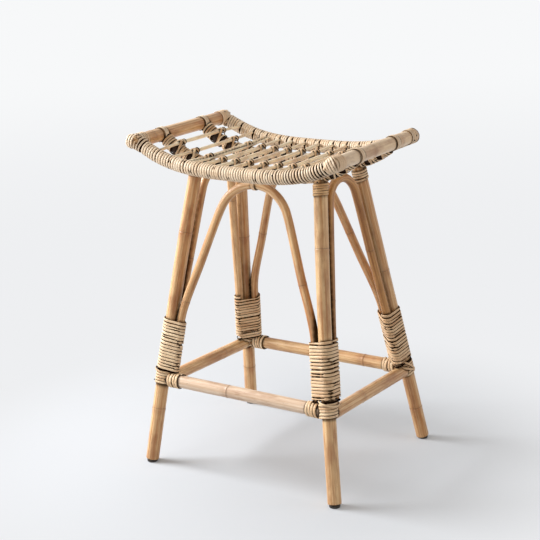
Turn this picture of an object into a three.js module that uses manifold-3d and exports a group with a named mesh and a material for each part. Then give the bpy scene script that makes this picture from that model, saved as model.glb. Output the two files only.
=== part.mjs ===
// Rattan bar stool with a footrest: four splayed legs, four rungs, four bent hoops and a
// saddle seat of thin slats between two bound rails. Millimetres, +Z up, origin on the floor
// under the middle of the stool. X runs along the long side of the seat, -Y is the front.

import * as THREE from "three";
import { mergeVertices } from "three/addons/utils/BufferGeometryUtils.js";
import Module from "manifold-3d";

const wasm = await Module();
wasm.setup();

// ---------- driving dimensions ----------
const GAP = 0.35; // clearance kept between neighbouring pieces
const STRAND = 2.1; // thickness of one layer of binding cane

const FOOT_X = 221.5; // leg axis on the floor
const FOOT_Y = 190.5;
const TOP_X = 144; // leg axis at the reference height TOP_Z
const TOP_Y = 73.5;
const TOP_Z = 610;
const LEG_RADIUS = 13.6;
const LEG_END_Z = 618; // the coped top of a leg, under its support pole
const GLIDE_HEIGHT = 5;
const GLIDE_RADIUS = 11;

// the two poles across the ends of the seat, which aren't quite level with each other
const END_POLES = {
  left: { sx: -1, x: -234.5, z: 675 },
  right: { sx: 1, x: 221, z: 666.5 },
};
const END_POLE_RADIUS = 13.8;
const BAND_Y = { front: -75.5, back: 66.5 };
const BAND_HALF_WIDTH = 8.5;

const RAIL_Y = 156;
const RAIL_Z = 628; // at the lowest point of the saddle
const RAIL_RISE_POWER = 3.25;
const RAIL_RADIUS = 11.4;
const RAIL_BOUND_RADIUS = 14.3;
const RAIL_STEPS = 14;
const RAIL_TUCK = { front: 4, back: 9 }; // how far a rail turns in towards the pole ends
const RAIL_TUCK_POWER = 12;

// the bound tips of the end poles, measured from the middle of the seat
const CAPS = {
  front: { inner: 137, tip: 176 },
  back: { inner: 125, tip: 163.5 },
};
const CAP_RADIUS = 16.2;
const CAP_ROUND = 9; // length of the rounded tip, beyond the sawn end of the pole

const SUPPORT_Y = 71;
const SUPPORT_Z = 614.5;
const SUPPORT_RISE_POWER = 3.9;
const SUPPORT_RADIUS = 12;
const SUPPORT_STEPS = 16;

const SLAT_RADIUS = 4;
const SLAT_CLEARANCE = 0.9; // above the round of a support pole, whose bend is in short straight steps
const SLAT_STEPS = 5;
const SLAT_END_Y = 142.6;
const SLAT_END_LIFT = 6; // slat ends enter the rails this far above the rail axis
// where each slat bears on the support poles, measured along X
const SLAT_STATIONS = [-198.5, -163, -125.5, -91, -59, -26, 8, 41.5, 75, 106, 137.5, 165.5, 190.5];
const TWIN_SLAT = { beside: 2, offset: 8.6, radius: 2.6 };

const HOOP_RADIUS = 8.7;
const HOOP_FROM_LEG = { x: 24, y: 26 }; // between the axes of a leg and a hoop limb in the bundle
const HOOP_FOOT_Z = 196;
const HOOP_BEND_Z = 318; // above this height the limbs leave the legs
const LONG_HOOP = { peak: 591, slope: 0.36 };
const SHORT_HOOP = { peak: 603, slope: 0.22 };
const HOOP_STEPS = 24;

const FRONT_RUNG_Z = 178;
const BACK_RUNG_Z = 167;
const SIDE_RUNG_DROP_FRONT = 6;
const SIDE_RUNG_DROP_BACK = 3.5;
const RUNG_RADIUS = 13.1;

const BUNDLE_BOTTOM = { front: 199, back: 188 };
const BUNDLE_HEIGHT = { front_left: 108, front_right: 118, back_right: 120, back_left: 105 };
const BUNDLE_THICKNESS = 2.6;
const JOINT_REACH = 36; // how far a rung-joint wrap runs along a rung from the leg axis
const JOINT_HEIGHT = { below: 12, above: 17.6 }; // from just under the height of the rungs
const JOINT_SWELL = 1.4; // strands heaped on the sides where the rungs come in

const COLLAR_HALF_WIDTH = 6.5;
const COLLAR_THICKNESS = 1.5;
const END_RING_FROM_POLE = 20.5;
const RUN_THICKNESS = 1.2;
const RUN_HALF_WIDTH = 2.5;
const PEAK_LASHING = { from: -13, to: -1 };
const TOP_RING_Z = { low: 583, high: 607, short_low: 596 };

// Each leg is bent by hand: small shifts of its foot, its top and its middle.
const LEGS = {
  front_left: { sx: -1, sy: -1, foot: [3, 3], top: [-6, -2], bow: [-4, -1] },
  front_right: { sx: 1, sy: -1, foot: [5.5, 0], top: [-4, 0], bow: [-5, 0] },
  back_right: { sx: 1, sy: 1, foot: [2, 5], top: [-2, -2], bow: [0, -1] },
  back_left: { sx: -1, sy: 1, foot: [3.5, 0], top: [-1, -1], bow: [0, -1] },
};

// ---------- materials ----------
const finish = (color, roughness) => new THREE.MeshStandardMaterial({ color, roughness, metalness: 0 });
const POLE_CANE = finish(0xcd9f6b, 0.42);
const SLAT_CANE = finish(0xd6b27c, 0.48);
const PALE_BINDING = finish(0xe6d3a9, 0.6);
const LEG_BINDING = finish(0xd3af7b, 0.55);
const GLIDE_PLASTIC = finish(0x35302c, 0.7);

// ---------- solids ----------
const POLE_SIDES = 12;
const RING_SIDES = 10;
const SLAT_SIDES = 8;
const COLLAR_SIDES = 8;

function polygon(radius, sides) {
  return Array.from({ length: sides }, (_, i) => {
    const angle = (2 * Math.PI * i) / sides;
    return new THREE.Vector2(radius * Math.cos(angle), radius * Math.sin(angle));
  });
}

function merged(geometry) {
  const bare = geometry.index ? geometry.toNonIndexed() : geometry;
  bare.deleteAttribute("normal");
  bare.deleteAttribute("uv");
  return mergeVertices(bare, 1e-4);
}

// A round cane of constant radius along a curve, closed at both ends.
function cane(path, radius, sides = POLE_SIDES, steps = 1) {
  const shape = new THREE.Shape(polygon(radius, sides));
  return merged(new THREE.ExtrudeGeometry(shape, { steps, extrudePath: path, bevelEnabled: false }));
}

// A round sleeve along a curve, open at both ends.
function sleeve(path, inner, outer, sides = POLE_SIDES, steps = 1) {
  const shape = new THREE.Shape(polygon(outer, sides));
  shape.holes.push(new THREE.Path(polygon(inner, sides)));
  return merged(new THREE.ExtrudeGeometry(shape, { steps, extrudePath: path, bevelEnabled: false }));
}

function toSolid(geometry) {
  return new wasm.Manifold(
    new wasm.Mesh({
      numProp: 3,
      vertProperties: new Float32Array(geometry.attributes.position.array),
      triVerts: new Uint32Array(geometry.index.array),
    }),
  );
}

function toGeometry(solid) {
  const mesh = solid.getMesh();
  const geometry = new THREE.BufferGeometry();
  geometry.setAttribute("position", new THREE.BufferAttribute(new Float32Array(mesh.vertProperties), 3));
  geometry.setIndex(new THREE.BufferAttribute(new Uint32Array(mesh.triVerts), 1));
  return geometry;
}

const join = (geometries) => geometries.map(toSolid).reduce((all, next) => all.add(next));
const cut = (solid, geometries) => geometries.map(toSolid).reduce((rest, next) => rest.subtract(next), solid);

function named(name, geometry, material) {
  const shaded = geometry.toNonIndexed();
  shaded.computeVertexNormals();
  const mesh = new THREE.Mesh(shaded, material);
  mesh.name = name;
  return mesh;
}

const vec = (x, y, z) => new THREE.Vector3(x, y, z);
const line = (a, b) => new THREE.LineCurve3(a, b);
const smooth = (points) => new THREE.CatmullRomCurve3(points, false, "centripetal");

// ---------- axes of the canes ----------
const endPoleBeside = (x) => (x < 0 ? END_POLES.left : END_POLES.right);

// A cane that sags like a saddle between the two end poles. Its ends may tuck in sideways.
class SaddleCurve extends THREE.Curve {
  constructor(y, lowest, power, tuck = 0) {
    super();
    this.y = y;
    this.lowest = lowest;
    this.power = power;
    this.tuck = tuck;
  }

  heightAt(x) {
    const pole = endPoleBeside(x);
    return this.lowest + (pole.z - this.lowest) * (x / pole.x) ** this.power;
  }

  slopeAt(x) {
    const pole = endPoleBeside(x);
    const run = (x / pole.x) ** (this.power - 1);
    return Math.atan((this.power * (pole.z - this.lowest) * run) / pole.x);
  }

  // A point at a distance above the axis, square to it.
  above(x, distance) {
    const slope = this.slopeAt(x);
    return new THREE.Vector3(
      x - distance * Math.sin(slope),
      this.y,
      this.heightAt(x) + distance * Math.cos(slope),
    );
  }

  getPoint(t, target = new THREE.Vector3()) {
    const x = THREE.MathUtils.lerp(END_POLES.left.x, END_POLES.right.x, t);
    const inward = this.tuck * (x / endPoleBeside(x).x) ** RAIL_TUCK_POWER;
    return target.set(x, this.y - Math.sign(this.y) * inward, this.heightAt(x));
  }
}

function legPoint(leg, z) {
  const { sx, sy, foot, top, bow } = LEGS[leg];
  const t = z / TOP_Z;
  const bulge = 4 * t * (1 - t);
  return vec(
    (sx * FOOT_X + foot[0]) * (1 - t) + (sx * TOP_X + top[0]) * t + bow[0] * bulge,
    (sy * FOOT_Y + foot[1]) * (1 - t) + (sy * TOP_Y + top[1]) * t + bow[1] * bulge,
    z,
  );
}

function legAxis(leg) {
  const heights = [-10, 90, 190, 315, 440, 530, LEG_END_Z];
  return smooth(heights.map((z) => legPoint(leg, z)));
}

const SY = { front: -1, back: 1 };
const supportAxis = (sy) => new SaddleCurve(sy * SUPPORT_Y, SUPPORT_Z, SUPPORT_RISE_POWER);
const railAxis = (end) => new SaddleCurve(SY[end] * RAIL_Y, RAIL_Z, RAIL_RISE_POWER, RAIL_TUCK[end]);

// The end poles are sawn off short of their bound tips.
function endPoleAxis(side, extra = 0) {
  const { x, z } = END_POLES[side];
  const front = -CAPS.front.tip + CAP_ROUND - extra;
  const back = CAPS.back.tip - CAP_ROUND + extra;
  return line(vec(x, front, z), vec(x, back, z));
}

function slatAxis(station, radius = SLAT_RADIUS) {
  const crossing = supportAxis(1).above(station, SUPPORT_RADIUS + radius + SLAT_CLEARANCE);
  const end = railAxis("back").heightAt(crossing.x) + SLAT_END_LIFT;
  return smooth([
    vec(crossing.x, -SLAT_END_Y, end),
    vec(crossing.x, -SUPPORT_Y, crossing.z),
    vec(crossing.x, SUPPORT_Y, crossing.z),
    vec(crossing.x, SLAT_END_Y, end),
  ]);
}

// Half the width of a hoop at heights from its bend to its peak: straight limbs that meet
// the round top as tangents. Returns [half width, height] pairs up to the peak.
function archProfile(bendHalf, { peak, slope }) {
  const hypotenuse = Math.hypot(1, slope);
  const turn = Math.atan2(1, slope);
  const sine = 1 / hypotenuse;
  const cosine = slope / hypotenuse;
  const radius = (bendHalf - slope * (peak - HOOP_BEND_Z)) / (sine - slope * (1 - cosine));
  const arc = Array.from({ length: 5 }, (_, i) => {
    const angle = turn * (1 - i / 5);
    return [radius * Math.sin(angle), peak - radius + radius * Math.cos(angle)];
  });
  const middle = (HOOP_BEND_Z + arc[0][1]) / 2;
  return [[bendHalf - slope * (middle - HOOP_BEND_Z), middle], ...arc];
}

// Where a hoop limb lies beside a leg: inward along X for the long hoops, along Y for the short.
function limbPoint(leg, z, along) {
  const { sx, sy } = LEGS[leg];
  const point = legPoint(leg, z);
  if (along === "x") point.x -= sx * HOOP_FROM_LEG.x;
  else point.y -= sy * HOOP_FROM_LEG.y;
  return point;
}

function hoopAxis(legA, legB, along, shape) {
  const heights = [HOOP_FOOT_Z, (HOOP_FOOT_Z + HOOP_BEND_Z) / 2, HOOP_BEND_Z];
  const limbA = heights.map((z) => limbPoint(legA, z, along));
  const limbB = heights.map((z) => limbPoint(legB, z, along));
  const [a, b] = [limbA[2], limbB[2]];
  const bendHalf = a.distanceTo(b) / 2;
  const onPlane = (side, half, z) => {
    const centre = legPoint(legA, z).add(legPoint(legB, z)).multiplyScalar(0.5);
    const outward = (side < 0 ? a : b).clone().sub(side < 0 ? b : a).normalize();
    return vec(centre.x, centre.y, z).addScaledVector(outward, half).setZ(z);
  };
  const profile = archProfile(bendHalf, shape);
  const rise = profile.map(([half, z]) => onPlane(-1, half, z));
  const fall = profile.map(([half, z]) => onPlane(1, half, z)).reverse();
  return smooth([...limbA, ...rise, onPlane(1, 0, shape.peak), ...fall, ...limbB.reverse()]);
}

function rungHeight(leg, along) {
  const front = LEGS[leg].sy < 0;
  if (along === "x") return front ? FRONT_RUNG_Z : BACK_RUNG_Z;
  return front ? FRONT_RUNG_Z - SIDE_RUNG_DROP_FRONT : BACK_RUNG_Z - SIDE_RUNG_DROP_BACK;
}

const rungAxis = (legA, legB, along) =>
  line(legPoint(legA, rungHeight(legA, along)), legPoint(legB, rungHeight(legB, along)));

// ---------- legs, rungs and hoops ----------
const HOOPS = {
  front_hoop: ["front_left", "front_right", "x", LONG_HOOP],
  back_hoop: ["back_left", "back_right", "x", LONG_HOOP],
  left_hoop: ["front_left", "back_left", "y", SHORT_HOOP],
  right_hoop: ["front_right", "back_right", "y", SHORT_HOOP],
};
const RUNGS = {
  front_rung: ["front_left", "front_right", "x"],
  back_rung: ["back_left", "back_right", "x"],
  left_rung: ["front_left", "back_left", "y"],
  right_rung: ["front_right", "back_right", "y"],
};
const LEG_STEPS = 6;

const legCane = (leg, extra = 0) => cane(legAxis(leg), LEG_RADIUS + extra, POLE_SIDES, LEG_STEPS);
const rungCane = (name, extra = 0) => cane(rungAxis(...RUNGS[name]), RUNG_RADIUS + extra);
const supportCane = (sy, extra = 0) =>
  cane(supportAxis(sy), SUPPORT_RADIUS + extra, POLE_SIDES, SUPPORT_STEPS);
const endPoleCane = (side, extra = 0) => cane(endPoleAxis(side, extra), END_POLE_RADIUS + extra);
const endPoleCanes = (extra) => Object.keys(END_POLES).map((side) => endPoleCane(side, extra));
const railCane = (end, radius) => cane(railAxis(end), radius, POLE_SIDES, RAIL_STEPS);

function floorBlock() {
  const size = 200;
  const block = new THREE.BoxGeometry(4 * size, 4 * size, size);
  block.translate(0, 0, GLIDE_HEIGHT + GAP - size / 2);
  return merged(block);
}

// A leg is coped to its support pole and sawn flat above its glide.
function makeLeg(leg) {
  const solid = cut(toSolid(legCane(leg)), [supportCane(LEGS[leg].sy, GAP), floorBlock()]);
  return named(`leg_${leg}`, toGeometry(solid), POLE_CANE);
}

function makeGlide(leg) {
  const profile = [
    new THREE.Vector2(0, 0),
    new THREE.Vector2(GLIDE_RADIUS - 1, 0),
    new THREE.Vector2(GLIDE_RADIUS, 1),
    new THREE.Vector2(GLIDE_RADIUS, GLIDE_HEIGHT),
    new THREE.Vector2(0, GLIDE_HEIGHT),
  ];
  const turned = new THREE.LatheGeometry(profile, POLE_SIDES);
  turned.rotateX(Math.PI / 2);
  const glide = named(`glide_${leg}`, merged(turned), GLIDE_PLASTIC);
  const foot = legPoint(leg, GLIDE_HEIGHT);
  glide.position.set(foot.x, foot.y, 0);
  return glide;
}

// Rungs are coped to the legs. The short rungs also give way to the long ones at each corner.
function makeRung(name) {
  const [legA, legB, along] = RUNGS[name];
  const clear = [legCane(legA, GAP), legCane(legB, GAP)];
  if (along === "y") clear.push(rungCane("front_rung", GAP), rungCane("back_rung", GAP));
  const solid = cut(toSolid(rungCane(name)), clear);
  return named(name, toGeometry(largest(solid)), POLE_CANE);
}

// A cane cut by its neighbours can leave crumbs past the joint; the piece is the largest part.
function largest(solid) {
  const parts = solid.decompose();
  return parts.reduce((best, part) => (part.volume() > best.volume() ? part : best));
}

const hoopCane = (name, extra = 0) => cane(hoopAxis(...HOOPS[name]), HOOP_RADIUS + extra, RING_SIDES, HOOP_STEPS);

const makeHoop = (name) => named(name, hoopCane(name), POLE_CANE);

// ---------- bindings on the legs ----------
// The outline round a leg and its two hoop limbs, grown by an offset, in the leg's own section.
function bundleOutline(circles, offset) {
  const directions = 24;
  return Array.from({ length: directions }, (_, i) => {
    const angle = (2 * Math.PI * i) / directions;
    const u = new THREE.Vector2(Math.cos(angle), Math.sin(angle));
    const reach = (circle) => circle.centre.dot(u) + circle.radius;
    const far = circles.reduce((best, circle) => (reach(circle) > reach(best) ? circle : best));
    return far.centre.clone().addScaledVector(u, far.radius + offset);
  });
}

function makeBundleWrap(leg) {
  const { sx, sy } = LEGS[leg];
  const low = sy < 0 ? BUNDLE_BOTTOM.front : BUNDLE_BOTTOM.back;
  const bottom = legPoint(leg, low);
  const top = legPoint(leg, low + BUNDLE_HEIGHT[leg]);
  const turn = new THREE.Quaternion().setFromUnitVectors(vec(0, 0, 1), top.clone().sub(bottom).normalize());
  const back = turn.clone().invert();
  const flat = (x, y) => {
    const local = vec(x, y, 0).applyQuaternion(back);
    return new THREE.Vector2(local.x, local.y);
  };
  const circles = [
    { centre: flat(0, 0), radius: LEG_RADIUS },
    { centre: flat(-sx * HOOP_FROM_LEG.x, 0), radius: HOOP_RADIUS },
    { centre: flat(0, -sy * HOOP_FROM_LEG.y), radius: HOOP_RADIUS },
  ];
  const clearance = 2 * GAP;
  const shape = new THREE.Shape(bundleOutline(circles, clearance + BUNDLE_THICKNESS));
  shape.holes.push(new THREE.Path(bundleOutline(circles, clearance)));
  const depth = bottom.distanceTo(top);
  const wrap = new THREE.ExtrudeGeometry(shape, { depth, steps: 1, bevelEnabled: false });
  const mesh = named(`bundle_wrap_${leg}`, merged(wrap), LEG_BINDING);
  mesh.position.copy(bottom);
  mesh.quaternion.copy(turn);
  return mesh;
}

const rungAt = (leg, along) =>
  Object.keys(RUNGS).find((name) => RUNGS[name].includes(leg) && RUNGS[name][2] === along);

// Strands round a leg at its rungs, running on round the end of the long rung.
function makeJointWrap(leg) {
  const { sx, sy } = LEGS[leg];
  const centre = rungHeight(leg, "x") - 1;
  const inward = vec(-sx * JOINT_SWELL, -sy * JOINT_SWELL, 0);
  const below = legPoint(leg, centre - JOINT_HEIGHT.below).add(inward);
  const above = legPoint(leg, centre + JOINT_HEIGHT.above).add(inward);
  const rungStart = legPoint(leg, rungHeight(leg, "x"));
  const rungEnd = rungStart.clone().add(vec(-sx * (LEG_RADIUS + JOINT_REACH), 0, 0));
  const wrap = join([
    cane(line(below, above), LEG_RADIUS + GAP + STRAND + JOINT_SWELL),
    cane(line(rungStart, rungEnd), RUNG_RADIUS + GAP + STRAND - 0.4),
  ]);
  const solid = cut(wrap, [
    legCane(leg, GAP),
    rungCane(rungAt(leg, "x"), GAP),
    rungCane(rungAt(leg, "y"), GAP),
  ]);
  return named(`joint_wrap_${leg}`, toGeometry(largest(solid)), LEG_BINDING);
}

function makeTopRings(leg) {
  const low = leg === "front_left" ? TOP_RING_Z.short_low : TOP_RING_Z.low;
  const path = line(legPoint(leg, low), legPoint(leg, TOP_RING_Z.high));
  const inner = LEG_RADIUS + 2 * GAP;
  return named(`top_rings_${leg}`, sleeve(path, inner, inner + STRAND), LEG_BINDING);
}

// ---------- seat ----------
const makeEndPole = (side) => named(`end_pole_${side}`, endPoleCane(side), POLE_CANE);

function makeBand(side, end) {
  const { x, z } = END_POLES[side];
  const path = line(vec(x, BAND_Y[end] - BAND_HALF_WIDTH, z), vec(x, BAND_Y[end] + BAND_HALF_WIDTH, z));
  const inner = END_POLE_RADIUS + GAP;
  return named(`pole_band_${side}_${end}`, sleeve(path, inner, inner + STRAND), PALE_BINDING);
}

function makeSupport(end) {
  const solid = cut(toSolid(supportCane(SY[end])), endPoleCanes(STRAND + 2 * GAP));
  return named(`support_pole_${end}`, toGeometry(largest(solid)), POLE_CANE);
}

function makeRail(end) {
  const solid = cut(toSolid(railCane(end, RAIL_RADIUS)), endPoleCanes(GAP));
  return named(`${end}_rail`, toGeometry(largest(solid)), POLE_CANE);
}

const slatCane = (x, radius = SLAT_RADIUS, extra = 0) =>
  cane(slatAxis(x, radius), radius + extra, SLAT_SIDES, SLAT_STEPS);

const twinStation = SLAT_STATIONS[TWIN_SLAT.beside] + TWIN_SLAT.offset;

// The bound tip of an end pole, turned round the pole's axis, with a rounded end.
function makeCap(side, end) {
  const { inner, tip } = CAPS[end];
  const outline = [
    [0, inner],
    [CAP_RADIUS, inner],
    [CAP_RADIUS, tip - CAP_ROUND],
    [0.88 * CAP_RADIUS, tip - 0.36 * CAP_ROUND],
    [0.56 * CAP_RADIUS, tip],
    [0, tip],
  ];
  const profile = end === "back" ? outline : outline.map(([r, y]) => [r, -y]).reverse();
  const cap = new THREE.LatheGeometry(profile.map(([r, y]) => new THREE.Vector2(r, y)), POLE_SIDES);
  cap.translate(END_POLES[side].x, 0, END_POLES[side].z);
  return merged(cap);
}

// The binding covers the rail from end to end and runs on as a cap over both pole ends.
// The slats pass through it and stop at the rail.
function makeRailBinding(end) {
  const caps = Object.keys(END_POLES).map((side) => makeCap(side, end));
  const solid = cut(join([railCane(end, RAIL_BOUND_RADIUS), ...caps]), [
    railCane(end, RAIL_RADIUS + GAP),
    ...endPoleCanes(GAP),
    ...SLAT_STATIONS.map((x) => slatCane(x, SLAT_RADIUS, GAP)),
    slatCane(twinStation, TWIN_SLAT.radius, GAP),
  ]);
  return named(`${end}_rail_binding`, toGeometry(largest(solid)), PALE_BINDING);
}

function makeSlats() {
  const slats = SLAT_STATIONS.map((x, i) =>
    named(`slat_${String(i + 1).padStart(2, "0")}`, slatCane(x), SLAT_CANE),
  );
  const twin = named("slat_03_twin", slatCane(twinStation, TWIN_SLAT.radius), SLAT_CANE);
  return [...slats, twin];
}

const legsOn = (sy) => Object.keys(LEGS).filter((leg) => LEGS[leg].sy === sy);

// The flat run of a lashing along the inner side of its support pole.
function lashingRun(sy, grow = 0) {
  const axis = supportAxis(sy);
  const near = SUPPORT_RADIUS + 2 * GAP - grow;
  const far = near + RUN_THICKNESS + 2 * grow;
  const half = RUN_HALF_WIDTH + grow;
  const shape = new THREE.Shape([
    new THREE.Vector2(sy * near, -half),
    new THREE.Vector2(sy * far, -half),
    new THREE.Vector2(sy * far, half),
    new THREE.Vector2(sy * near, half),
  ]);
  const inset = 0.055;
  const samples = 12;
  const path = new THREE.CatmullRomCurve3(
    Array.from({ length: samples + 1 }, (_, i) => axis.getPoint(inset + ((1 - 2 * inset) * i) / samples)),
  );
  return merged(new THREE.ExtrudeGeometry(shape, { steps: SUPPORT_STEPS, extrudePath: path, bevelEnabled: false }));
}

// The outline of one crossing, seen along the support pole: round below, peaked over the slat.
function crossingOutline() {
  const round = SUPPORT_RADIUS + COLLAR_THICKNESS + 4 * GAP;
  const top = SUPPORT_RADIUS + 2 * SLAT_RADIUS + STRAND + GAP;
  const right = [
    [0, -round],
    [round * Math.SQRT1_2, -round * Math.SQRT1_2],
    [round, 0],
    [0.8 * round, 0.58 * round],
    [COLLAR_HALF_WIDTH, top],
  ];
  const left = right.slice(1).reverse().map(([y, z]) => [-y, z]);
  return [...right, ...left].map(([y, z]) => new THREE.Vector2(y, z));
}

// A flat outline made into a collar across a support pole, square to the pole.
function collar(axis, station, outline, halfWidth) {
  const inner = (SUPPORT_RADIUS + 2 * GAP) / Math.cos(Math.PI / COLLAR_SIDES);
  const shape = new THREE.Shape(outline);
  shape.holes.push(new THREE.Path(polygon(inner, COLLAR_SIDES)));
  const depth = 2 * halfWidth;
  const ring = merged(new THREE.ExtrudeGeometry(shape, { depth, steps: 1, bevelEnabled: false }));
  ring.translate(0, 0, -halfWidth);
  ring.rotateZ(Math.PI / 2);
  ring.rotateY(Math.PI / 2);
  ring.rotateY(-axis.slopeAt(station));
  ring.translate(station, axis.y, axis.heightAt(station));
  return toSolid(ring);
}

// One long strand lashes every slat to a support pole: a peaked collar at each crossing,
// joined by a run along the inner side of the pole.
function makeLashing(end, sy) {
  const axis = supportAxis(sy);
  const plain = polygon(SUPPORT_RADIUS + COLLAR_THICKNESS + 4 * GAP, COLLAR_SIDES);
  const crossings = SLAT_STATIONS.map((station) =>
    cut(collar(axis, station, crossingOutline(), COLLAR_HALF_WIDTH), [slatCane(station, SLAT_RADIUS, GAP)]),
  );
  const endRings = Object.values(END_POLES).map(({ sx, x }) =>
    collar(axis, x - sx * END_RING_FROM_POLE, plain, STRAND),
  );
  const whole = [...crossings, ...endRings].reduce((all, next) => all.add(next), toSolid(lashingRun(sy)));
  const solid = cut(whole, [
    supportCane(sy, GAP),
    slatCane(twinStation, TWIN_SLAT.radius, GAP),
    ...endPoleCanes(STRAND + 2 * GAP),
    ...legsOn(sy).map((leg) => legCane(leg, GAP)),
  ]);
  return named(`support_lashing_${end}`, toGeometry(largest(solid)), LEG_BINDING);
}

// Strands that hold the peak of a long hoop up against its support pole.
function makePeakLashing(end, sy) {
  const axis = supportAxis(sy);
  const hoop = hoopAxis(...HOOPS[`${end}_hoop`]).getPoint(0.5);
  const section = (point) => new THREE.Vector2(point.y, point.z);
  const circles = [
    { centre: section(axis.getPoint(0.5)), radius: SUPPORT_RADIUS },
    { centre: section(hoop), radius: HOOP_RADIUS },
  ];
  const shape = new THREE.Shape(bundleOutline(circles, 2 * GAP + STRAND));
  shape.holes.push(new THREE.Path(bundleOutline(circles, 2 * GAP)));
  const depth = PEAK_LASHING.to - PEAK_LASHING.from;
  const wrap = merged(new THREE.ExtrudeGeometry(shape, { depth, steps: 1, bevelEnabled: false }));
  wrap.rotateZ(Math.PI / 2);
  wrap.rotateY(Math.PI / 2);
  wrap.translate(PEAK_LASHING.from, 0, 0);
  const solid = cut(toSolid(wrap), [lashingRun(sy, GAP), hoopCane(`${end}_hoop`, GAP)]);
  return named(`peak_lashing_${end}`, toGeometry(largest(solid)), LEG_BINDING);
}

// ---------- assembly ----------
const base = new THREE.Group();
for (const leg of Object.keys(LEGS)) {
  base.add(makeLeg(leg), makeGlide(leg), makeBundleWrap(leg), makeJointWrap(leg), makeTopRings(leg));
}
for (const name of Object.keys(RUNGS)) base.add(makeRung(name));
for (const name of Object.keys(HOOPS)) base.add(makeHoop(name));

const seat = new THREE.Group();
for (const side of Object.keys(END_POLES)) {
  seat.add(makeEndPole(side), makeBand(side, "front"), makeBand(side, "back"));
}
for (const [end, sy] of Object.entries(SY)) {
  seat.add(makeRail(end), makeRailBinding(end), makeSupport(end));
  seat.add(makeLashing(end, sy), makePeakLashing(end, sy));
}
seat.add(...makeSlats());

// The origin lies under the middle of the box round the stool.
const stool = new THREE.Group();
stool.add(base, seat);
const middle = new THREE.Box3().setFromObject(stool).getCenter(new THREE.Vector3());
stool.position.set(-middle.x, -middle.y, 0);

export default stool;
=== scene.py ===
"""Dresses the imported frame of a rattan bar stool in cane, wound binding, glides and nails.

Every solid of the frame gets a detailed piece of its own: round canes with growth rings, long
strands of split cane wound turn by turn, lashings over each slat, and glides. The nail heads are
one more piece. The plan of the stool is in millimetres about its own middle, and its meshes
become metres in the frame. X runs along the long side of the seat, -Y is the front and the floor
is z = 0.
"""

import logging
import math
from abc import ABC, abstractmethod
from collections.abc import Callable, Iterator, Sequence
from contextlib import contextmanager
from dataclasses import dataclass, field
from enum import Enum
from functools import partial
from typing import Any, ClassVar

import bpy
import numpy as np
from mathutils import Matrix, Vector
from mathutils.kdtree import KDTree


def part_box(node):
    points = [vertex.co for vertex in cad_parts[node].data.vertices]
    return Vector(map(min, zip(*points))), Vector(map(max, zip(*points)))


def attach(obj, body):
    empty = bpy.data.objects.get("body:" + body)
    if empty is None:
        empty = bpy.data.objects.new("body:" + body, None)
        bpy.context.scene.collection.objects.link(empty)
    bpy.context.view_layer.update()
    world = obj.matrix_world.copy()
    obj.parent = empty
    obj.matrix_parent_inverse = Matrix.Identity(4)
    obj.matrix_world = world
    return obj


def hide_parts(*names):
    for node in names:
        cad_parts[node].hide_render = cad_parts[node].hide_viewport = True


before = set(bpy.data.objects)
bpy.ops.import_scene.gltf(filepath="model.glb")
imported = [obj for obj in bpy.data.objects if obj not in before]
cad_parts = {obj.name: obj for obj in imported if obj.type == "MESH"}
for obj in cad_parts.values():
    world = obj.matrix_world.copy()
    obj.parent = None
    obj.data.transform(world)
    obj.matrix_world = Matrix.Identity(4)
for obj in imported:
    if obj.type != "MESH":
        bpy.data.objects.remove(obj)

Array = np.ndarray
Piece = bpy.types.Object
Socket = bpy.types.NodeSocket
Colour = tuple[int, int, int]
Span = tuple[float, float]

LOG = logging.getLogger("stool")
MM = 0.001
TURN = 2 * math.pi
BODY = "root"
AXIS_X, AXIS_Y, AXIS_Z = np.eye(3)


# ---- plan of the stool


class Labelled(Enum):
    """A choice whose name is also a word in the frame's node names."""

    @property
    def label(self) -> str:
        """The word that the node names use."""
        return self.name.lower()


class End(Labelled):
    """The two long sides of the seat, with their sign along Y."""

    FRONT = -1
    BACK = 1


class Side(Labelled):
    """The two ends of the seat, with their sign along X."""

    LEFT = -1
    RIGHT = 1


class Leg(Labelled):
    """The four legs: signs along X and Y, and the shifts of foot, top and middle from bending."""

    FRONT_LEFT = (-1, -1, (3.0, 3.0), (-6.0, -2.0), (-4.0, -1.0))
    FRONT_RIGHT = (1, -1, (5.5, 0.0), (-4.0, 0.0), (-5.0, 0.0))
    BACK_RIGHT = (1, 1, (2.0, 5.0), (-2.0, -2.0), (0.0, -1.0))
    BACK_LEFT = (-1, 1, (3.5, 0.0), (-1.0, -1.0), (0.0, -1.0))

    @property
    def end(self) -> End:
        """The long side of the seat that this leg stands under."""
        return End(self.value[1])

    @property
    def inward(self) -> Array:
        """One step along X and one along Y from this leg towards the middle of the stool."""
        return np.array([-self.value[0], -self.value[1], 0.0])


def fixed(table: Any) -> Any:
    """Makes a table, which nothing changes, the default of a dataclass field."""
    return field(default_factory=lambda: table)


def unit(vectors: Array) -> Array:
    """Scales one vector, or rows of vectors, to length one."""
    return vectors / np.maximum(np.linalg.norm(vectors, axis=-1, keepdims=True), 1e-12)


def between(t: Array, low: float, high: float, a: Array, b: Array) -> Array:
    """Mixes two points by where each value of t lies between low, all a, and high, all b."""
    return (high - t) / (high - low) * a + (t - low) / (high - low) * b


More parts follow.
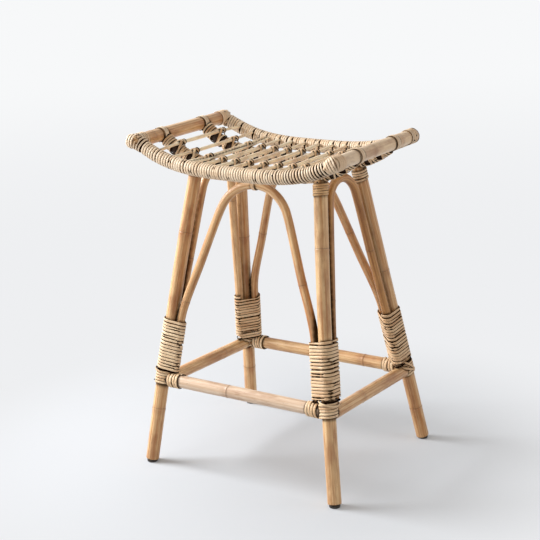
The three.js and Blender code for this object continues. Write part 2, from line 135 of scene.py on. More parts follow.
def catmull_rom(points: Sequence[Array], per_span: int = 14) -> Array:
    """Runs a smooth centripetal curve through a few points.

    Args:
        points: the points that the curve passes through.
        per_span: how many samples lie between two neighbouring points.

    Returns:
        The sampled curve, one row for each point.
    """
    knots = np.array(points, float)
    knots = np.vstack([2 * knots[0] - knots[1], knots, 2 * knots[-1] - knots[-2]])
    clock = np.cumsum([0.0, *np.sqrt(np.linalg.norm(np.diff(knots, axis=0), axis=1))])
    samples = []
    for i in range(len(knots) - 3):
        a, b, c, d = knots[i : i + 4]
        t0, t1, t2, t3 = clock[i : i + 4]
        t = np.linspace(t1, t2, per_span, endpoint=False)[:, None]
        ab, bc, cd = between(t, t0, t1, a, b), between(t, t1, t2, b, c), between(t, t2, t3, c, d)
        samples.append(between(t, t1, t2, between(t, t0, t2, ab, bc), between(t, t1, t3, bc, cd)))
    return np.vstack([*samples, knots[-2]])


@dataclass
class Route:
    """The axis that a cane follows or that a strand is wound on, with a frame carried along it.

    Attributes:
        points: the axis, one row for each point.
        side: where the frame's side axis points at the start, roughly.
    """

    points: Array
    side: Array
    along: Array = field(init=False)
    tangents: Array = field(init=False)
    sides: Array = field(init=False)
    ups: Array = field(init=False)

    def __post_init__(self) -> None:
        """Works out the distances along the axis and carries the frame from its start to its end."""
        steps = np.linalg.norm(np.diff(self.points, axis=0), axis=1)
        self.along = np.concatenate([[0.0], np.cumsum(steps)])
        self.tangents = unit(np.gradient(self.points, self.along, axis=0))
        self.sides = np.empty_like(self.tangents)
        carried = np.array(self.side, float)
        for i, tangent in enumerate(self.tangents):
            carried = unit(carried - tangent * carried.dot(tangent))
            self.sides[i] = carried
        self.ups = np.cross(self.tangents, self.sides)

    @classmethod
    def straight(cls, start: Array, stop: Array, side: Array) -> "Route":
        """Lays a straight axis from one point to another."""
        return cls(np.linspace(start, stop, 60), side)

    @property
    def length(self) -> float:
        """The length of the axis."""
        return float(self.along[-1])

    def _sample(self, table: Array, distances: Array) -> Array:
        """Reads one of the tables at distances along the axis, row by row."""
        return np.stack([np.interp(distances, self.along, column) for column in table.T], axis=-1)

    def at(self, distances: float | Array) -> tuple[Array, Array, Array, Array]:
        """Finds the axis and its frame.

        Args:
            distances: one or more distances from the start of the axis.

        Returns:
            Points, tangents, side axes and up axes, one row for each distance.
        """
        inside = np.clip(distances, 0.0, self.length)
        tangents = unit(self._sample(self.tangents, inside))
        past = (np.asarray(distances) - inside)[..., None]
        points = self._sample(self.points, inside) + tangents * past
        return points, tangents, unit(self._sample(self.sides, inside)), unit(self._sample(self.ups, inside))

    def where_x(self, x: float) -> float:
        """How far along an axis that only rises in X it reaches a place."""
        return float(np.interp(x, self.points[:, 0], self.along))

    def angle_of(self, direction: Array) -> float:
        """The angle of a direction in the frame at the start of the axis, from the side axis."""
        return math.atan2(float(self.ups[0].dot(direction)), float(self.sides[0].dot(direction)))


@dataclass(frozen=True)
class Plan:
    """The driving dimensions of the stool and the axes of its canes, as its frame has them."""

    foot: Span = (221.5, 190.5)
    top: Span = (144.0, 73.5)
    top_z: float = 610.0
    leg_radius: float = 13.6
    leg_end_z: float = 618.0
    long_rung_z: dict[End, float] = fixed({End.FRONT: 178.0, End.BACK: 167.0})
    rung_radius: float = 13.1
    hoop_radius: float = 8.7
    hoop_from_leg: Span = (24.0, 26.0)
    hoop_foot_z: float = 196.0
    hoop_bend_z: float = 318.0
    pole_radius: float = 13.8
    pole_place: dict[Side, Span] = fixed({Side.LEFT: (-234.5, 675.0), Side.RIGHT: (221.0, 666.5)})
    pole_ends_y: Span = (-173.2, 160.8)
    rail_y: float = 156.0
    rail_tuck: dict[End, float] = fixed({End.FRONT: 4.0, End.BACK: 9.0})
    rail_z: float = 628.0
    rail_power: float = 3.25
    rail_radius: float = 11.4
    support_y: float = 71.0
    support_z: float = 614.5
    support_power: float = 3.9
    support_radius: float = 12.0
    slat_radius: float = 4.0
    slat_lift: float = 0.9
    slat_end_y: float = 142.6
    slat_end_lift: float = 6.0
    slat_stations: tuple[float, ...] = (
        -198.5, -163, -125.5, -91, -59, -26, 8, 41.5, 75, 106, 137.5, 165.5, 190.5
    )

    def shift(self) -> Vector:
        """Finds the shift from the measures of this plan to the frame, in metres."""
        slat_low, slat_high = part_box("slat_01")
        pole_low, pole_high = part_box("end_pole_left")
        drawn_x = self.pole_place[Side.LEFT][0] * MM
        return Vector(((pole_low.x + pole_high.x) / 2 - drawn_x, (slat_low.y + slat_high.y) / 2, 0.0))

    def leg_point(self, leg: Leg, z: float | Array) -> Array:
        """Finds a leg's axis at some heights.

        Args:
            leg: which leg.
            z: one height or several.

        Returns:
            One point, or rows of points.
        """
        *signs, foot, top, bow = leg.value
        t = np.asarray(z, float) / self.top_z
        bulge = 4 * t * (1 - t)
        places = [
            (sign * self.foot[i] + foot[i]) * (1 - t) + (sign * self.top[i] + top[i]) * t + bow[i] * bulge
            for i, sign in enumerate(signs)
        ]
        return np.stack([*places, np.asarray(z, float)], axis=-1)

    def leg_route(self, leg: Leg, low: float, high: float, steps: int) -> Route:
        """The axis of a leg between two heights, in steps."""
        return Route(self.leg_point(leg, np.linspace(low, high, steps)), AXIS_X)

    def pole_point(self, side: Side, y: float) -> Array:
        """A point of an end pole's axis."""
        x, z = self.pole_place[side]
        return np.array([x, y, z])

    def pole_route(self, side: Side) -> Route:
        """The axis of an end pole between the insides of its bound tips."""
        return Route.straight(*(self.pole_point(side, y) for y in self.pole_ends_y), AXIS_Z)

    def _nearer_pole(self, x: Array) -> tuple[Array, Array]:
        """X and height of the end pole in the same half of the seat as each place."""
        left, right = self.pole_place[Side.LEFT], self.pole_place[Side.RIGHT]
        return np.where(x < 0, left[0], right[0]), np.where(x < 0, left[1], right[1])

    def _saddle(self, x: float | Array, lowest: float, power: float) -> Array:
        """The height of a cane that sags between the end poles."""
        x = np.asarray(x, float)
        pole_x, pole_z = self._nearer_pole(x)
        return lowest + (pole_z - lowest) * (x / pole_x) ** power

    def rail_height(self, x: float | Array) -> Array:
        """The height of a rail's axis."""
        return self._saddle(x, self.rail_z, self.rail_power)

    def support_height(self, x: float | Array) -> Array:
        """The height of a support pole's axis."""
        return self._saddle(x, self.support_z, self.support_power)

    def _across(self) -> Array:
        """Places along X from one end pole to the other."""
        return np.linspace(self.pole_place[Side.LEFT][0], self.pole_place[Side.RIGHT][0], 241)

    def rail_route(self, end: End) -> Route:
        """The axis of a rail, whose ends tuck in a little towards the poles."""
        x = self._across()
        y = end.value * (self.rail_y - self.rail_tuck[end] * (x / self._nearer_pole(x)[0]) ** 12)
        return Route(np.stack([x, y, self.rail_height(x)], axis=-1), -end.value * AXIS_Y)

    def support_route(self, end: End) -> Route:
        """The axis of a support pole."""
        x = self._across()
        y = np.full_like(x, end.value * self.support_y)
        return Route(np.stack([x, y, self.support_height(x)], axis=-1), AXIS_Y)

    def slat_crossing(self, station: float, radius: float) -> Span:
        """Where a slat's axis crosses above the support poles, along X and Z."""
        slope = math.atan(float(self.support_height(station + 0.5) - self.support_height(station - 0.5)))
        distance = self.support_radius + radius + self.slat_lift
        height = float(self.support_height(station))
        return station - distance * math.sin(slope), height + distance * math.cos(slope)


PLAN = Plan()
SHIFT = PLAN.shift()


# ---- mesh making


def deselect_all() -> None:
    """Leaves nothing selected, so that the next operator acts on its own piece alone."""
    bpy.ops.object.select_all(action="DESELECT")


@contextmanager
def edit_mode() -> Iterator[None]:
    """Opens the active piece in edit mode and closes it again."""
    bpy.ops.object.mode_set(mode="EDIT")
    yield
    bpy.ops.object.mode_set(mode="OBJECT")


def select_facing(piece: Piece, way: Vector, least: float, corners: int = 3) -> None:
    """Selects the faces of the active piece that point one way, and nothing else.

    Args:
        piece: the active piece.
        way: the way that they point.
        least: how closely they do, as the cosine of the angle between.
        corners: how many corners they have at least.
    """
    with edit_mode():
        bpy.ops.mesh.select_all(action="DESELECT")
    for face in piece.data.polygons:
        face.select = way.dot(face.normal) > least and len(face.vertices) >= corners


def seamed(table: Array, closed: bool) -> Array:
    """Repeats the first side of a grid after its last, and its first step too where it is closed."""
    table = np.concatenate([table, table[:, :1]], axis=1)
    return np.concatenate([table, table[:1]], axis=0) if closed else table


def roll_tube(rings: Array, values: dict[str, Array], closed: bool = False) -> Piece:
    """Rolls a flat grid into one closed tube.

    Args:
        rings: the cross-sections in millimetres, as steps by sides by XYZ.
        values: what each vertex carries for its material, by attribute name: steps by sides
            for a number, steps by sides by three for a vector.
        closed: whether the last cross-section meets the first, as in a loop.

    Returns:
        The tube, in metres and in the frame's place.
    """
    sheet = seamed(rings, closed)
    deselect_all()
    bpy.ops.mesh.primitive_grid_add(
        x_subdivisions=sheet.shape[1] - 1, y_subdivisions=sheet.shape[0] - 1, size=1, calc_uvs=False
    )
    tube = bpy.context.active_object
    place = sheet * MM + np.array(SHIFT)
    tube.data.vertices.foreach_set("co", place.reshape(-1).astype(np.float32))
    for name, table in values.items():
        kind, key = ("FLOAT_VECTOR", "vector") if table.ndim == 3 else ("FLOAT", "value")
        layer = tube.data.attributes.new(name, kind, "POINT")
        layer.data.foreach_set(key, seamed(table, closed).reshape(-1).astype(np.float32))
    tube.location = (0.0, 0.0, 0.0)
    with edit_mode():
        bpy.ops.mesh.select_all(action="SELECT")
        bpy.ops.mesh.remove_doubles(threshold=1e-6)
        if not closed:
            bpy.ops.mesh.fill_holes(sides=0)
        bpy.ops.mesh.normals_make_consistent(inside=False)
    return tube


def join_pieces(parts: Sequence[Piece]) -> Piece:
    """Joins one or more meshes into one piece."""
    deselect_all()
    for part in parts:
        part.select_set(True)
    bpy.context.view_layer.objects.active = parts[0]
    if len(parts) > 1:
        bpy.ops.object.join()
    return parts[0]


@dataclass(frozen=True)
class Dressing:
    """A material and the record's material slot that it stands for."""

    material: bpy.types.Material
    slot: str


def finish_piece(
    parts: Sequence[Piece], name: str, dressing: Dressing, node: str | None, crease: float = 50.0
) -> Piece:
    """Joins, names and shades a piece, dresses it and ties it to the frame.

    Args:
        parts: the meshes that it is made of, in place.
        name: the piece's name.
        dressing: its material and slot.
        node: the frame's node that it stands for, if any.
        crease: the angle in degrees above which an edge stays sharp.

    Returns:
        The piece.
    """
    piece = join_pieces(parts)
    bpy.ops.object.shade_smooth_by_angle(angle=math.radians(crease))
    piece.name = name
    piece.data.name = name
    piece.data.materials.clear()
    piece.data.materials.append(dressing.material)
    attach(piece, BODY)
    if node:
        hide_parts(node)
    if "across" in piece.data.attributes:
        BENCH.strands.append(piece)
    LOG.info("%s: %d faces", name, len(piece.data.polygons))
    return piece


# ---- canes


@dataclass
class Workbench:
    """What has been made so far, so that painted shade can be laid where pieces lie close together.

    Attributes:
        axes: the sampled axis and radius of every cane, by the name of its piece.
        canes: the finished pieces of whole cane.
        strands: the finished pieces of wound strand.
        strand_reach: where the painted shade beside a strand is darkest and where it ends, as gaps.
        pole_reach: the same on an end pole.
        cane_reach: the same beside another cane.
        limb_reach: the same on a hoop's limb beside its leg, which the leg shades.
        margin: how far outside a cane's own box its neighbours are looked for.
    """

    axes: dict[str, tuple[Array, float]] = field(default_factory=dict)
    canes: list[Piece] = field(default_factory=list)
    strands: list[Piece] = field(default_factory=list)
    strand_reach: Span = (0.8, 4.6)
    pole_reach: Span = (0.3, 1.5)
    cane_reach: Span = (0.8, 5.5)
    limb_reach: Span = (6.5, 14.0)
    margin: float = 8.0

    @staticmethod
    def _vertices(piece: Piece) -> Array:
        """The places of a piece's vertices, in the plan's millimetres."""
        table = np.empty(len(piece.data.vertices) * 3, np.float32)
        piece.data.vertices.foreach_get("co", table)
        return (table.reshape(-1, 3) - np.array(SHIFT)) / MM

    @staticmethod
    def _closeness(gaps: Array, reach: Span) -> Array:
        """One where pieces touch, falling to nothing at the far end of the reach."""
        share = np.clip((gaps - reach[0]) / (reach[1] - reach[0]), 0, 1)
        return 1 - share * share * (3 - 2 * share)

    def _beside_strands(self, name: str, own: Array, near: Array) -> Array:
        """How close each vertex of a cane is to the strands near it."""
        if not len(near):
            return np.zeros(len(own))
        tree = KDTree(len(near))
        for index, place in enumerate(near):
            tree.insert(place, index)
        tree.balance()
        gaps = np.array([tree.find(place)[2] for place in own])
        return self._closeness(gaps, self.pole_reach if name.startswith("end_pole") else self.strand_reach)

    def lay_painted_shade(self) -> None:
        """Stores on every cane how deep each of its vertices lies in a crevice, which its material paints as
        shade.
        """
        strands = np.vstack([self._vertices(piece) for piece in self.strands])
        for piece in self.canes:
            own = self._vertices(piece)
            low, high = own.min(axis=0) - self.margin, own.max(axis=0) + self.margin
            near = strands[((strands > low) & (strands < high)).all(axis=1)]
            crevice = self._beside_strands(piece.name, own, near)
            for name, (axis, radius) in self.axes.items():
                apart = (axis.min(axis=0) - radius > high).any() or (axis.max(axis=0) + radius < low).any()
                if apart or name == piece.name:
                    continue
                gaps = np.sqrt(((own[:, None] - axis[None]) ** 2).sum(axis=2).min(axis=1)) - radius
                # A hoop's limb gets a wider reach of painted shade beside its leg, where the leg shades it.
                beside_leg = "hoop" in piece.name and name.startswith("leg")
                reach = self.limb_reach if beside_leg else self.cane_reach
                crevice = np.maximum(crevice, self._closeness(gaps, reach))
            # The crevice value darkens the cane as painted shade where neighbours crowd it.
            layer = piece.data.attributes.new("crevice", "FLOAT", "POINT")
            layer.data.foreach_set("value", crevice.astype(np.float32))


BENCH = Workbench()


@dataclass
class Cane:
    """A round cane with growth rings, slightly out of round and never quite even.

    Attributes:
        ring_steps: how far before and after a growth ring its extra cross-sections lie.
        end_steps: the same at the ends, as shares of their rounding.
        waves: the lengths of the slow waves in its radius.
        route: its axis.
        radius: its radius.
        growth: distances of its growth rings from the start of the axis.
        seed: what makes its unevenness its own.
        sides: how many sides its round has.
        swell: how far a growth ring stands proud.
        wander: how far its radius varies along it, as a share of the radius.
        copes: cylinders that its start and its end are cut to, as axis route and radius.
        end_round: how far back its ends are eased.
        thin: where it is thinner, as a function of distance, or None.
        painted_light: where it is painted paler as light falling on it, from 0 to 1, as a function of
            distance, or None.
    """

    ring_steps: ClassVar[Array] = np.array([-7, -4.5, -2.8, -1.6, -0.7, 0, 0.7, 1.4, 2.2, 3.4, 5, 8])
    end_steps: ClassVar[Array] = np.array([0.35, 1.0, 2.0])
    waves: ClassVar[tuple[float, ...]] = (23.0, 41.0, 77.0)

    route: Route
    radius: float
    growth: Sequence[float]
    seed: int
    sides: int = 26
    swell: float = 0.45
    wander: float = 0.012
    copes: tuple[tuple[Route, float] | None, tuple[Route, float] | None] = (None, None)
    end_round: float = 1.2
    thin: Callable[[Array], Array] | None = None
    painted_light: Callable[[Array], Array] | None = None

    def _stations(self) -> Array:
        """Distances of the cross-sections, closer together at growth rings and ends."""
        length = self.route.length
        even = np.linspace(0.0, length, max(8, int(length / 3.6)))
        near = [self.ring_steps + ring for ring in self.growth]
        eased = self.end_steps * self.end_round
        stations = np.unique(np.round(np.concatenate([even, *near, eased, length - eased]), 2))
        stations = stations[(stations >= 0) & (stations <= length)]
        return stations[np.concatenate([[True], np.diff(stations) > 0.25])]

    def _to_growth(self, distances: Array) -> Array:
        """The signed distance to the nearest growth ring, for each distance."""
        if not len(self.growth):
            return np.full_like(distances, 1000.0)
        gaps = distances[:, None] - np.asarray(self.growth)[None, :]
        return gaps[np.arange(len(distances)), np.abs(gaps).argmin(axis=1)]

    def _radii(self, distances: Array, to_growth: Array) -> Array:
        """The radius along the cane."""
        phases = np.random.default_rng(self.seed).uniform(0, TURN, 3)
        wave = sum(np.sin(distances / reach + phase) for reach, phase in zip(self.waves, phases)) / 3
        radii = self.radius * (1 + self.wander * wave)
        radii = radii + self.swell * np.exp(-((to_growth / 2.4) ** 2))
        radii = radii - 0.55 * self.swell * np.exp(-(((to_growth - 2.4) / 0.9) ** 2))
        if self.thin is not None:
            radii = radii * self.thin(distances)
        from_end = np.minimum(distances, self.route.length - distances)
        ease = np.clip(from_end / self.end_round, 0, 1)
        return radii - self.end_round * (1 - np.sqrt(np.clip(1 - (1 - ease) ** 2, 0, 1)))

    @staticmethod
    def _cope(ring: Array, push: Array, cutter: Route, radius: float) -> Array:
        """Slides the points of an end cross-section out of a round cane that it meets."""
        nearest = int(np.linalg.norm(cutter.points - ring.mean(axis=0), axis=1).argmin())
        axis = cutter.tangents[nearest]
        offset = ring - cutter.points[nearest]
        offset = offset - np.outer(offset @ axis, axis)
        flat = push - axis * push.dot(axis)
        a = flat.dot(flat)
        b = 2 * offset @ flat
        c = (offset**2).sum(axis=1) - radius**2
        root = np.sqrt(np.maximum(b * b - 4 * a * c, 0))
        slide = np.where(c < 0, (-b + root) / (2 * a), 0.0)
        return ring + slide[:, None] * push

    def make(self, name: str, dressing: Dressing, node: str) -> None:
        """Builds the cane as a finished piece and notes its axis.

        Args:
            name: the piece's name.
            dressing: its material and slot.
            node: the frame's node that it stands for.
        """
        BENCH.canes.append(finish_piece([self.mesh()], name, dressing, node))
        BENCH.axes[name] = (self.route.points[::2], self.radius)

    def mesh(self) -> Piece:
        """Builds the cane as a closed mesh that carries grain, growth and tone for its material."""
        rng = np.random.default_rng(self.seed + 7)
        distances = self._stations()
        to_growth = self._to_growth(distances)
        radii = self._radii(distances, to_growth)
        points, tangents, sides, ups = self.route.at(distances)
        angles = np.arange(self.sides) * TURN / self.sides
        lobe = 1 + 0.012 * np.cos(2 * angles[None, :] + distances[:, None] / 90.0 + rng.uniform(0, 6))
        spread = radii[:, None] * lobe
        across, upward = spread * np.cos(angles), spread * np.sin(angles)
        rings = points[:, None] + across[..., None] * sides[:, None] + upward[..., None] * ups[:, None]
        for index, push, cope in ((0, tangents[0], self.copes[0]), (-1, -tangents[-1], self.copes[1])):
            if cope is not None:
                rings[index] = self._cope(rings[index], push, *cope)
        run = np.repeat((distances + rng.uniform(0, 5000))[:, None], self.sides, axis=1)
        tone = np.full(rings.shape[:2], rng.uniform(0, 1))
        # Painted light lowers the tone, which pales the cane.
        if self.painted_light is not None:
            tone = tone - 2 * self.painted_light(distances)[:, None]
        values = {
            "grain": np.stack([across, upward, run], axis=-1) * MM,
            "growth": np.repeat(to_growth[:, None], self.sides, axis=1) * MM,
            "tone": tone,
        }
        return roll_tube(rings, values)


# ---- wound strands


@dataclass(frozen=True)
class Strand:
    """A flat strand of split cane, domed on its outer face.

    Attributes:
        width: its width.
        thickness: its thickness.
        fine: whether its section has eight corners rather than six.
    """

    width: float
    thickness: float
    fine: bool = False

    def section(self) -> Array:
        """The corners of its section, across and out, each from -1 to 1."""
        half = [(0.36, 1.0), (0.88, 0.45), (1, -0.6)]
        if self.fine:
            half = [(0.36, 0.96), (0.8, 0.6), (1, 0), (1, -0.6)]
        return np.array([(-x, y) for x, y in reversed(half)] + half)

    def sweep(self, line: Array, outward: Array, widths: Array, tone: Array, closed: bool = False) -> Piece:
        """Sweeps the section along a line that lies on what the strand is wound on.

        Args:
            line: the middle of the strand, in millimetres.
            outward: the direction away from what it is wound on, row by row.
            widths: the strand's width, row by row, as a share of its own.
            tone: how dark the strand is, row by row, from 0 to 1.
            closed: whether the strand meets itself in a loop.

        Returns:
            A closed mesh that carries grain, across and tone for its material.
        """
        ahead = np.roll(line, -1, 0) - np.roll(line, 1, 0) if closed else np.gradient(line, axis=0)
        across = unit(np.cross(outward, ahead))
        out = unit(np.cross(ahead, across))
        section = self.section()
        side = section[None, :, :1] * (widths * self.width / 2)[:, None, None]
        lift = section[None, :, 1:] * self.thickness / 2
        rings = line[:, None] + across[:, None] * side + out[:, None] * lift
        run = np.concatenate([[0.0], np.cumsum(np.linalg.norm(np.diff(line, axis=0), axis=1))])
        shape = rings.shape[:2]
        grain = [side[..., 0], lift[..., 0], (run + 1000 * tone)[:, None]]
        values = {
            "grain": np.stack([np.broadcast_to(column, shape) for column in grain], axis=-1) * MM,
            "across": np.broadcast_to(section[None, :, 0], shape),
            "tone": np.broadcast_to(tone[:, None], shape),
        }
        return roll_tube(rings, values, closed)


@dataclass(frozen=True)
class Disc:
    """A round or upright oval cane in the section that a strand goes round.

    Attributes:
        radius: its radius.
        x: where its middle lies.
        y: the same upwards.
        height: half its height where it isn't round, or None.
    """

    radius: float
    x: float = 0.0
    y: float = 0.0
    height: float | None = None

    @property
    def half(self) -> Array:
        """Half its width and half its height."""
        return np.array([self.radius, self.radius if self.height is None else self.height])


@dataclass(frozen=True)
class Outline:
    """The outline of one or more canes held together, which a tight strand follows."""

    discs: tuple[Disc, ...]

    def at(self, angles: Array) -> tuple[Array, Array]:
        """Finds the outline where it faces some angles.

        Args:
            angles: the directions that it faces.

        Returns:
            Points of the outline and the directions away from it, both row by row.
        """
        facing = np.stack([np.cos(angles), np.sin(angles)], axis=-1)
        reaches, points = [], []
        for disc in self.discs:
            reach = np.maximum(np.linalg.norm(facing * disc.half, axis=-1), 1e-9)
            centre = np.array([disc.x, disc.y])
            reaches.append(facing @ centre + reach)
            points.append(centre + disc.half**2 * facing / reach[..., None])
        best = np.argmax(np.array(reaches), axis=0)
        return np.array(points)[best, np.arange(len(angles))], facing


def round_outline(radius: float) -> Outline:
    """The outline of a single round cane."""
    return Outline((Disc(radius),))


@dataclass
class Winding:
    """One long strand wound turn by turn round an axis.

    Attributes:
        route: the axis.
        outline: what the strand lies on.
        strand: the strand.
        passes: distances along the axis where it passes the reference angle, one for each turn.
        reference: the reference angle in the route's frame.
        seed: what makes its unevenness its own.
        steps: how many steps one turn has.
        sway: how far a turn sways out of its plane.
        loose: how far the strand stands off what it lies on, here and there.
        partings: where turns part to let a slat through.
        parting_push: how far the turns are pushed aside there.
        parting_reach: how far along the axis a parting reaches.
        hand: 1 or -1, which way round the strand is wound.
        cover: how wide the strand is along the axis, as a share of its own width, or None.
        nicks: how many short stretches of it are split and narrow.
        tones: the lightest and the darkest that its turns may be.
    """

    route: Route
    outline: Outline
    strand: Strand
    passes: Array
    reference: float
    seed: int
    steps: int = 26
    sway: float = 0.5
    loose: float = 0.12
    partings: Sequence[float] = ()
    parting_push: float = 0.0
    parting_reach: float = 7.0
    hand: int = 1
    cover: Callable[[Array], Array] | None = None
    nicks: int = 0
    tones: Span = (0.0, 1.0)

    def mesh(self) -> Piece:
        """Builds the strand from its first turn to its last, as a closed mesh."""
        rng = np.random.default_rng(self.seed)
        turns = len(self.passes) - 1
        count = np.arange(turns + 1)
        clock = np.linspace(0, turns, turns * self.steps + 1)
        angles = self.reference + self.hand * TURN * clock
        sway = np.interp(clock, count, rng.normal(0, self.sway, turns + 1))
        lean = np.interp(clock, count, rng.uniform(0, TURN, turns + 1))
        along = np.interp(clock, count, self.passes) + sway * np.cos(angles + lean)
        towards = np.clip(np.cos(angles - self.reference), 0, 1) ** 1.5
        for place in self.partings:
            near = np.exp(-(((along - place) / self.parting_reach) ** 2)) * towards
            along = along + np.sign(along - place) * self.parting_push * near
        points, _, sides, ups = self.route.at(along)
        flat, facing = self.outline.at(angles)
        slack = np.interp(clock, count, rng.uniform(0, self.loose, turns + 1))
        flat = flat + facing * (self.strand.thickness / 2 + slack)[:, None]
        line = points + sides * flat[:, :1] + ups * flat[:, 1:]
        outward = unit(sides * facing[:, :1] + ups * facing[:, 1:])
        widths = np.interp(clock, count, rng.normal(1.0, 0.05, turns + 1))
        if self.cover is not None:
            widths = widths * self.cover(along)
        for nick in rng.uniform(0, turns, self.nicks):
            widths = widths * (1 - 0.7 * np.exp(-(((clock - nick) / 0.035) ** 4)))
        tone = np.interp(clock, count, rng.uniform(*self.tones, turns + 1))
        return self.strand.sweep(line, outward, widths, tone)


@dataclass
class Loop:
    """One closed loop of strand in a plane of its own, such as a lashing over a crossing.

    Attributes:
        centre: the middle of the loop.
        across: the first axis of its plane.
        up: the second axis of its plane.
        outline: what it lies on, in that plane.
        strand: the strand.
        seed: what makes its unevenness its own.
        steps: how many steps it has.
        bulge: how far the loop sways out of its plane.
        lean: the angle by which its strand turns out of its plane at its far end.
        tone: how dark the strand is, or None to leave it to chance.
        slack: how far it may stand off what it lies on.
    """

    centre: Array
    across: Array
    up: Array
    outline: Outline
    strand: Strand
    seed: int
    steps: int = 24
    bulge: float = 0.6
    lean: float = 0.0
    tone: float | None = None
    slack: float = 0.3

    def mesh(self) -> Piece:
        """Builds the loop as a closed mesh."""
        rng = np.random.default_rng(self.seed)
        angles = np.arange(self.steps) * TURN / self.steps - math.pi / 2
        flat, facing = self.outline.at(angles)
        normal = unit(np.cross(self.across, self.up))
        in_plane = facing[:, :1] * self.across + facing[:, 1:] * self.up
        lean = self.lean * np.clip(facing[:, :1], 0, 1) ** 2
        outward = unit(np.cos(lean) * in_plane + np.sin(lean) * normal)
        sway = self.bulge * np.cos(angles + rng.uniform(0, TURN))
        line = self.centre + flat[:, :1] * self.across + flat[:, 1:] * self.up + sway[:, None] * normal
        line = line + outward * (self.strand.thickness / 2 + rng.uniform(0, self.slack))
        widths = 1 + 0.06 * np.sin(angles + rng.uniform(0, 6)) + rng.normal(0, 0.04)
        tone = np.full(self.steps, rng.uniform(0, 1) if self.tone is None else self.tone)
        return self.strand.sweep(line, outward, widths, tone, closed=True)


# ---- shader helpers and groups


def linear(channel: int) -> float:
    """Turns one channel of a colour as seen on a screen into its linear share."""
    share = channel / 255
    return share / 12.92 if share <= 0.04045 else ((share + 0.055) / 1.055) ** 2.4


def opaque(tint: Colour) -> tuple[float, float, float, float]:
    """Turns a colour as seen on a screen into the linear values that a shader takes."""
    red, green, blue = tint
    return (linear(red), linear(green), linear(blue), 1.0)


@dataclass
class Wiring:
    """Places nodes in a node tree and wires them up."""

    tree: bpy.types.NodeTree

    def node(self, kind: str, inputs: dict[str | int, Any] | None = None, **settings: Any) -> bpy.types.Node:
        """Adds a node.

        Args:
            kind: the node's type.
            inputs: what each input holds: a value, or another node's output to link.
            **settings: the node's own settings.

        Returns:
            The node.
        """
        node = self.tree.nodes.new(kind)
        for key, value in settings.items():
            setattr(node, key, value)
        for key, value in (inputs or {}).items():
            if isinstance(value, Socket):
                self.tree.links.new(value, node.inputs[key])
            else:
                node.inputs[key].default_value = value
        return node

    def maths(self, operation: str, a: Any, b: Any = 0.0, c: Any = 0.0) -> Socket:
        """Adds a Math node and returns its output."""
        return self.node("ShaderNodeMath", {0: a, 1: b, 2: c}, operation=operation).outputs[0]

    def scaled(self, a: Any, factor: Any, offset: Any = 0.0) -> Socket:
        """Multiplies a value and adds another to it."""
        return self.maths("MULTIPLY_ADD", a, factor, offset)

    def blend(self, share: Any, a: Any, b: Any) -> Socket:
        """Mixes two colours and returns the mixed one."""
        return self.node("ShaderNodeMix", {0: share, 6: a, 7: b}, data_type="RGBA").outputs[2]

    def layered(self, base: Any, *layers: tuple[Socket, float, Colour]) -> Socket:
        """Lays colours over a base, each where its mask shows and at its own strength."""
        for mask, strength, tint in layers:
            base = self.blend(self.maths("MULTIPLY", mask, strength), base, opaque(tint))
        return base

    def spread(self, value: Any, low: float, high: float) -> Socket:
        """Maps a range of values smoothly to the range from 0 to 1."""
        inputs = {0: value, 1: low, 2: high, 3: 0.0, 4: 1.0}
        return self.node("ShaderNodeMapRange", inputs, interpolation_type="SMOOTHSTEP").outputs[0]

    def attribute(self, name: str, output: str = "Fac") -> Socket:
        """Reads what the mesh carries under a name."""
        return self.node("ShaderNodeAttribute", attribute_name=name).outputs[output]

    def noise(self, vector: Any, scale: float, detail: float, roughness: float) -> Socket:
        """Adds a noise texture and returns its value."""
        inputs = {"Vector": vector, "Scale": scale, "Detail": detail, "Roughness": roughness}
        return self.node("ShaderNodeTexNoise", inputs).outputs[0]

    def drawn_noise(self, grain: Any, along: float, scale: float, detail: float, roughness: float) -> Socket:
        """Adds noise that is drawn out along the grain, the more so the smaller the share along it is."""
        drawn = self.node("ShaderNodeMapping", {"Vector": grain, "Scale": (1.0, 1.0, along)}).outputs[0]
        return self.noise(drawn, scale, detail, roughness)

    def bump(self, height: Socket, strength: float, distance: float) -> Socket:
        """Turns a height into a normal."""
        inputs = {"Height": height, "Strength": strength, "Distance": distance}
        return self.node("ShaderNodeBump", inputs).outputs[0]

    def effect(self, group: bpy.types.NodeTree, **inputs: Any) -> Any:
        """Places a shared node group and returns its outputs."""
        return self.node("ShaderNodeGroup", inputs, node_tree=group).outputs

    @classmethod
    def blank(cls, owner: bpy.types.Material | bpy.types.World) -> "Wiring":
        """Gives a material or a world an empty node tree."""
        owner.use_nodes = True
        owner.node_tree.nodes.clear()
        return cls(owner.node_tree)


FLOAT, VECTOR = "NodeSocketFloat", "NodeSocketVector"


